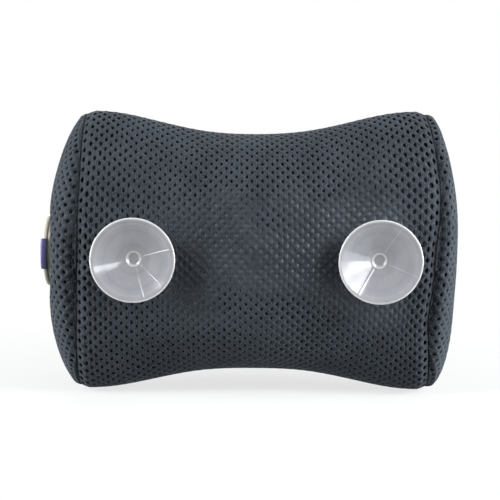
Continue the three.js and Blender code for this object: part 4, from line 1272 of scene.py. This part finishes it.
def cup_profile():
    """Hollow from the middle out, round the lip, back over the flare, and along stem and head."""
    inner = np.r_[np.linspace(0, 7, 24), np.linspace(7.8, CUP_RADIUS - LIP_WIDTH, 22)]
    disc = DISC_STEP / (1 + np.exp((inner - DISC_RADIUS) / 0.15))
    ring = 0.3 * np.exp(-(((inner - STEM_RING) / 0.6) ** 2))
    face = np.c_[inner, hollow(np.maximum(inner, DISC_RADIUS)) + disc - ring]
    lip_angle = np.linspace(-np.pi / 2, np.pi / 2, 9)
    lip_radius = LIP_WALL / 2
    lip = lip_radius * np.c_[np.cos(lip_angle), np.sin(lip_angle)] + [CUP_RADIUS - lip_radius, lip_radius]
    outer = np.linspace(CUP_RADIUS - 1.2, SHOULDER[0] + 0.6, 22)
    wall = CROWN_WALL + (LIP_WALL - CROWN_WALL) * outer / CUP_RADIUS
    back = np.c_[outer, hollow(np.minimum(outer, CUP_RADIUS - LIP_WIDTH)) + wall]
    stem = rounded(np.array([
        back[-1], [SHOULDER[0], SHOULDER[1] - 1.2], SHOULDER, [NECK_RADIUS, SHOULDER[1]],
        [NECK_RADIUS, HEAD_FACE], [HEAD_RADIUS, HEAD_FACE], [HEAD_RADIUS, HEAD_EDGE],
        [NECK_RADIUS, CUP_END - 0.2], [0, CUP_END],
    ]), 0.6)
    return np.vstack([face, lip, back, stem[1:]])


def flow_share(lines, radius, height, angle):
    """1 on the hollow's face along the lines' angles, between stem and lip, falling to 0 in FLOW_WIDTH."""
    apart = np.abs((angle[..., None] - np.radians(lines) + np.pi) % (2 * np.pi) - np.pi).min(-1)
    on_face = (radius > FLOW_START) & (height <= hollow(radius) + 0.05)
    on_face &= radius < CUP_RADIUS - LIP_WIDTH - 0.3
    return on_face * np.exp(-((apart * radius / FLOW_WIDTH) ** 2))


def flow_wave(lines):
    """Lifts the hollow's face in narrow ribs at the lines' angles, and in faint ripples that fan out from
    the stem, as the product of two sines of the angle."""
    def wave(radius, height, angle):
        on_face = (radius > FLOW_START) & (height <= hollow(radius) + 0.05)
        ripple = RIPPLE * on_face * (radius / CUP_RADIUS) * np.sin(31 * angle + 1) * np.sin(9 * angle + 2)
        return radius, height + ripple - FLOW_RISE * flow_share(lines, radius, height, angle)
    return wave


def painted_edge_highlights(profile, lines, angles):
    """Painted highlights as whiteness of every point: the lip's edge, the rings on the face as bell curves,
    and the flow lines. Two faint rings on the face are a little darker instead.
    """
    radius, height = profile[profile[:, 0] > 1e-6].T
    place, width, white = EDGE_RINGS.T
    rings = (white * np.exp(-(((radius[:, None] - place) / width) ** 2))).sum(1)
    lip = 1 / (1 + np.exp((CUP_RADIUS - LIP_GLOW - radius) / 0.08))
    glow = np.where(height <= hollow(radius) + 1.0, rings, 0) + lip
    flow = flow_share(lines, radius[:, None], height[:, None], angles[None, :])
    return np.r_[(glow[:, None] + FLOW_GLOW * flow).ravel(), 0, 0]


def cup_angles(lines):
    """Even steps, with a few close ones on either side of each flow line."""
    close = np.radians(lines)[:, None] + np.array([-0.03, -0.013, 0, 0.013, 0.03])
    return np.unique(np.round(np.r_[even_turn(120), close.ravel() % (2 * np.pi)], 5))


print("cup profile", cup_profile().shape)

# %% Cups


def vinyl_finish():
    """Soft clear vinyl: milky, partly see-through, with faint clouds from the mould. Painted highlights make
    it whiter where the attribute `edge` marks its edges.
    """
    finish = Finish("clear_vinyl", {
        "Roughness": 0.14, "IOR": 1.45, "Transmission Weight": 0.32, "Specular IOR Level": 0.5,
        "Coat Weight": 1.0, "Coat Roughness": 0.1, "Coat IOR": 1.8,
    })
    edge = finish.node("Attribute", {"attribute_name": "edge"}).outputs["Fac"]
    cloud = finish.math("MULTIPLY", finish.noise(finish.place(), 11.0, 2.0), 0.26)
    # painted highlights: the edge attribute whitens the colour at the lip, the rings and the flow lines
    finish.colour(finish.ramp(finish.math("ADD", edge, cloud), (0.3, 0.307, 0.355), (0.98, 0.98, 0.96)))
    finish.rough(finish.noise(finish.place(), 6.0), 0.08, 0.2)
    finish.bump(finish.noise(finish.place(), 9.0, 1.0), 0.3, 0.5)
    return finish.material


clear_vinyl = vinyl_finish()
for side_name, side in (("left", -1), ("right", 1)):
    cup_lines = -np.array(FLOW_LINES[side_name], float)
    angles = cup_angles(cup_lines)
    cup_points, cup_faces = turned(
        cup_profile(), angles, (side * CUP_SPACING, 0, 0), (0, 1, 0), (1, 0, 0), flow_wave(cup_lines)
    )
    cup_painted_highlights = painted_edge_highlights(cup_profile(), cup_lines, angles)
    add_piece(
        f"{side_name}_clear_cup", cup_points, cup_faces, clear_vinyl, f"{side_name}_cup",
        [f"suction_cup_{side_name}"], "clear_vinyl", tags={"edge": cup_painted_highlights}, crease=38,
    )

# %% [markdown]
# ## Eyelets
#
# Each cup's neck turns in a dark plastic eyelet whose rim lies on the mesh, and a washer behind the
# cloth holds it. Only the rim shows, beside the stem, so it gets a rounded edge.

# %% Eyelets
EYELET_PROFILE = np.array([
    [3.9, 13.9], [7.5, 13.9], [7.5, 14.7], [4.7, 14.7], [4.7, 17.8], [5.3, 17.8], [5.3, 18.6], [3.9, 18.6],
])


def moulded(name, dark, pale, rough, size=4.0):
    """Moulded plastic: a fine grain in the bump, slow clouds in the colour, and worn gloss."""
    finish = Finish(name, {"Specular IOR Level": 0.45})
    cloud = finish.noise(finish.place(), size, 4.0)
    finish.colour(finish.ramp(cloud, dark, pale, 0.3, 0.7))
    finish.rough(finish.noise(finish.place(), size / 3), rough - 0.06, rough + 0.08)
    finish.bump(finish.noise(finish.place(), 0.35, 2.0), 0.03, 0.5)
    return finish.material


dark_plastic = moulded("dark_moulding", (0.012, 0.013, 0.015), (0.026, 0.028, 0.031), 0.42)
for side_name, side in (("left", -1), ("right", 1)):
    looped = rounded(np.vstack([EYELET_PROFILE[-1:], EYELET_PROFILE, EYELET_PROFILE[:1]]), 0.3)[1:-1]
    eyelet_points, eyelet_faces = closed_turned(
        looped, even_turn(64), (side * CUP_SPACING, 0, 0), (0, 1, 0), (1, 0, 0)
    )
    add_piece(
        f"{side_name}_eyelet_ring", eyelet_points, eyelet_faces, dark_plastic, "pillow",
        [f"eyelet_{side_name}"], "eyelet_plastic", crease=38,
    )

# %% [markdown]
# ## The pocket and its bound mouth
#
# The massager slides into a cloth sleeve whose mouth is bound to the left panel with folded tape. The
# sleeve is turned with shallow gathers. Heights below are counted outwards from the left panel's face,
# along the pillow.

# %% Pocket
FACE_X = -137.8
MASSAGER_ORIGIN = (FACE_X, PILLOW_MIDDLE, 0)
OUTWARD = (-1, 0, 0)
UPWARD = (0, 0, 1)
SLEEVE_FOLDS = 18
SLEEVE_FOLD_DEPTH = 0.16
pocket_turn = even_turn(144)
SLEEVE_PROFILE = np.array([
    [0.0, -121.1], [21.6, -121.1], [22.4, -120.4], [22.4, -6.0], [23.2, -3.6], [26.4, -2.9], [26.4, -3.5],
    [24.0, -4.4], [23.2, -7.0], [23.2, -121.0], [22.0, -121.8], [0.0, -121.8],
])
MOUTH_PROFILE = np.array([
    [23.0, -0.4], [22.8, 0.2], [23.3, 0.9], [24.4, 1.1], [25.6, 1.05], [26.4, 0.8], [26.6, 0.2], [26.6, -1.9],
    [26.2, -2.5], [23.4, -2.5], [22.9, -2.0],
])


def gathered(radius, height, angle):
    """A sleeve's shallow gathers: the wall moves outwards by a cosine of eighteen waves a turn."""
    fold = SLEEVE_FOLD_DEPTH * (1 + np.cos(SLEEVE_FOLDS * angle + 0.8 * np.sin(height / 19)))
    return radius + fold * (radius > 22.1) * (height < -7), height


pocket_points, pocket_faces = turned(
    SLEEVE_PROFILE, pocket_turn, MASSAGER_ORIGIN, OUTWARD, UPWARD, gathered
)
add_piece(
    "pocket_sleeve", pocket_points, pocket_faces, woven_tape, "pillow", ["massager_pocket"],
    "binding_tape", crease=60,
)
mouth_points, mouth_faces = closed_turned(MOUTH_PROFILE, pocket_turn, MASSAGER_ORIGIN, OUTWARD, UPWARD)
add_piece(
    "pocket_mouth_tape", mouth_points, mouth_faces, woven_tape, "pillow", ["pocket_binding"],
    "binding_tape", crease=60,
)

# %% [markdown]
# ## The massager
#
# A cream can with a seating rim and a domed cap over it. A violet bar lies across the cap, to twist it
# by, with a violet push button in its middle. The can has shallow grip rings near its rim and a rounded
# blind end, so it looks right when it is pulled out of the pocket. The bar isn't round: its halves are
# swept across it, from the button's hole over the dome and down the cap's edge.

# %% Can, cap and button profiles
CAN_PROFILE = np.array([
    [0.0, -120.7], [19.0, -120.7], [22.0, -117.9], [22.0, -14.0], [21.6, -13.4], [21.6, -12.0],
    [22.0, -11.4], [22.0, -9.6], [21.6, -9.0], [21.6, -7.6], [22.0, -7.0], [22.0, 1.4], [24.0, 1.4],
    [24.0, 2.6], [20.2, 2.6], [20.2, -118.2], [0.0, -118.2],
])
CAP_EDGE = 6.1
CAP_CROWN = 2.4
CAP_RADIUS = 24.5
CAP_SEAT = 2.9
SKIRT_RADIUS = 19.8
BUTTON_HOLE = 9.0
BUTTON_RADIUS = 8.6
BUTTON_EDGE = 9.676
BUTTON_TOP = 10.376
GUIDE_ROOF = 6.216
GRIP_HALF_WIDTH = 10.3
GRIP_LIFT = 0.3
GRIP_THICKNESS = 0.9
GRIP_EDGE = np.array([
    # radius and height of the bar's end: over the cap's edge, down to its seat and up inside
    [25.05, 7.1], [25.5, 6.75], [25.7, 6.2], [25.7, 3.4], [25.55, 3.2], [24.9, 3.2], [24.8, 3.3], [24.8, 6.1],
])


def dome(radius):
    """Height of the cap's crown: highest in the middle, falling with the square of the radius."""
    return CAP_EDGE + CAP_CROWN * (1 - (radius / CAP_RADIUS) ** 2)


def cap_profile():
    """Dome from the button's hole out, rounded edge, seat, seal groove, skirt and the button's guide."""
    r = np.linspace(BUTTON_HOLE + 0.5, 20.5, 14)
    crown = np.c_[r, dome(r)]
    hole_edge = np.array([
        [BUTTON_HOLE, GUIDE_ROOF], [BUTTON_HOLE, crown[0, 1] - 0.5], [BUTTON_HOLE + 0.15, crown[0, 1] - 0.1],
    ])
    corners = [crown[-1], [CAP_RADIUS, CAP_EDGE], [CAP_RADIUS, CAP_SEAT], [SKIRT_RADIUS, CAP_SEAT]]
    edge = rounded(np.array(corners), 1.3, 6)
    inside = np.array([
        [SKIRT_RADIUS, -0.3], [17.3, -0.3], [17.3, -3.1], [SKIRT_RADIUS, -3.1], [SKIRT_RADIUS, -11.9],
        [16.0, -11.9], [16.0, GUIDE_ROOF], [12.2, GUIDE_ROOF], [12.2, 1.416], [11.0, 1.416],
        [11.0, GUIDE_ROOF],
    ])
    return np.vstack([hole_edge, crown, edge[1:], inside])


def button_profile():
    """A low dome with a rounded edge, a straight side, and a wide foot under the cap."""
    r = np.linspace(0, BUTTON_RADIUS - 0.5, 12)
    top = np.c_[r, BUTTON_EDGE + (BUTTON_TOP - BUTTON_EDGE) * (1 - (r / BUTTON_RADIUS) ** 2)]
    side = np.array([
        [BUTTON_RADIUS - 0.12, BUTTON_EDGE - 0.12], [BUTTON_RADIUS, BUTTON_EDGE - 0.5], [BUTTON_RADIUS, 4.75],
        [10.6, 4.616], [10.6, 3.216], [3.0, 3.216], [3.0, -1.2], [0, -1.284],
    ])
    return np.vstack([top, side])


def grip_half(side):
    """One half of the bar, swept across it: at every height z a loop runs from the button's hole over the
    dome, down the cap's edge and back underneath. side is -1 in front and 1 behind."""
    round_z = BUTTON_HOLE * np.sin(np.linspace(-np.pi / 2, np.pi / 2, 33))
    beside_z = np.array([BUTTON_HOLE + 0.3, BUTTON_HOLE + 0.8, GRIP_HALF_WIDTH - 0.15, GRIP_HALF_WIDTH])
    z = np.r_[-beside_z[::-1], round_z, beside_z][:, None]
    inner = np.sqrt(np.maximum(BUTTON_HOLE**2 - z**2, 0))
    share = np.array([0, 0.015, 0.1, 0.3, 0.5, 0.7, 0.9, 0.98])
    over = inner + share * (np.sqrt(CAP_RADIUS**2 - z**2) - inner)
    ground = dome(np.hypot(over, z)) + GRIP_LIFT
    bevel = 0.15 * np.maximum(share == 0, np.abs(z) == GRIP_HALF_WIDTH)
    edge = np.sqrt(GRIP_EDGE[:, 0] ** 2 - z**2)
    edge_height = np.broadcast_to(GRIP_EDGE[:, 1], edge.shape)
    y = np.concatenate([over, edge, over[:, ::-1]], 1)
    height = np.concatenate([ground + GRIP_THICKNESS - bevel, edge_height, ground[:, ::-1]], 1)
    grid = np.stack([FACE_X - height, PILLOW_MIDDLE + side * y, np.broadcast_to(z, y.shape)], -1)[:, ::side]
    return skin(grid, grid[0].mean(0), grid[-1].mean(0))


print("cap profile", cap_profile().shape, "button profile", button_profile().shape)

# %% Can, cap, button and grip
cream = moulded("cream_moulding", (0.66, 0.62, 0.5), (0.74, 0.7, 0.58), 0.34, 9.0)
violet = moulded("violet_moulding", (0.07, 0.066, 0.19), (0.1, 0.094, 0.25), 0.3, 5.0)
MASSAGER_PIECES = [
    ("massager_can", CAN_PROFILE, False, cream, "massager", "massager_housing", "cream_plastic"),
    ("massager_cap", cap_profile(), True, cream, "cap", "end_cap", "cream_plastic"),
    ("massager_button", button_profile(), False, violet, "button", "push_button", "violet_plastic"),
]
for piece_name, profile, is_loop, finish, body, node, slot in MASSAGER_PIECES:
    turn_it = closed_turned if is_loop else turned
    points, faces = turn_it(profile, even_turn(120), MASSAGER_ORIGIN, OUTWARD, UPWARD)
    add_piece(piece_name, points, faces, finish, body, [node], slot, crease=38)
front_half, back_half = grip_half(-1), grip_half(1)
grip_points = np.vstack([front_half[0], back_half[0]])
grip_faces = front_half[1] + [f + len(front_half[0]) for f in back_half[1]]
add_piece(
    "massager_grip", grip_points, grip_faces, violet, "cap", ["cap_grip_bar"], "violet_plastic", crease=38
)

# %% [markdown]
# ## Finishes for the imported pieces
#
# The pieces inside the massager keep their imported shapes, which are right, and get finishes of their own.
# Metals have stretched noise for brushing, the cells a wrapped sleeve of colour, and the board a green
# lacquer with faint tracks.

# %% Inside finishes


def brushed(name, dark, pale, rough, stretch):
    """Brushed metal: noise stretched along one direction in roughness, tone and bump."""
    finish = Finish(name, {"Metallic": 1.0})
    lines = finish.noise(finish.place(scale=stretch), 1.0, 4.0)
    finish.colour(finish.ramp(lines, dark, pale, 0.3, 0.7))
    finish.rough(lines, rough - 0.08, rough + 0.1)
    finish.bump(lines, 0.02, 0.5)
    return finish.material


def board_finish():
    """Green lacquer with faint tracks: two sets of stripes, one above the other."""
    finish = Finish("board_lacquer", {"Roughness": 0.35})
    across = finish.bands(finish.place(), 3.1, "Y", 2.0)
    upward = finish.bands(finish.place(), 4.3, "Z", 2.0)
    tracks = finish.math("MAXIMUM", across, upward)
    finish.colour(finish.ramp(tracks, (0.01, 0.06, 0.026), (0.02, 0.11, 0.045), 0.7, 0.9))
    finish.bump(tracks, 0.04, 0.6)
    return finish.material


steel = brushed("drawn_steel", (0.46, 0.47, 0.49), (0.66, 0.67, 0.69), 0.32, (0.1, 4, 4))
brass = brushed("contact_brass", (0.58, 0.45, 0.18), (0.74, 0.6, 0.28), 0.34, (4, 0.4, 4))
cell = brushed("cell_jacket", (0.2, 0.21, 0.23), (0.32, 0.33, 0.35), 0.38, (0.1, 3, 3))
rubber = moulded("seal_rubber", (0.006, 0.006, 0.007), (0.014, 0.014, 0.015), 0.7, 3.0)
board = board_finish()
PACKED_FINISHES = {
    "eyelet_washer_left": dark_plastic, "eyelet_washer_right": dark_plastic, "cap_seal_ring": rubber,
    "button_gasket": rubber, "switch_body": dark_plastic, "switch_plunger": violet, "circuit_board": board,
    "battery_carrier": dark_plastic, "outer_contact_plate": brass, "inner_contact_plate": brass,
    "battery_1": cell, "battery_2": cell, "battery_3": cell, "motor": steel, "motor_sleeve": dark_plastic,
    "motor_shaft": steel, "eccentric_weight": brass,
}
for node_name, finish in PACKED_FINISHES.items():
    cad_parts[node_name].data.materials.clear()
    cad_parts[node_name].data.materials.append(finish)
print("packed pieces with finishes:", len(PACKED_FINISHES))
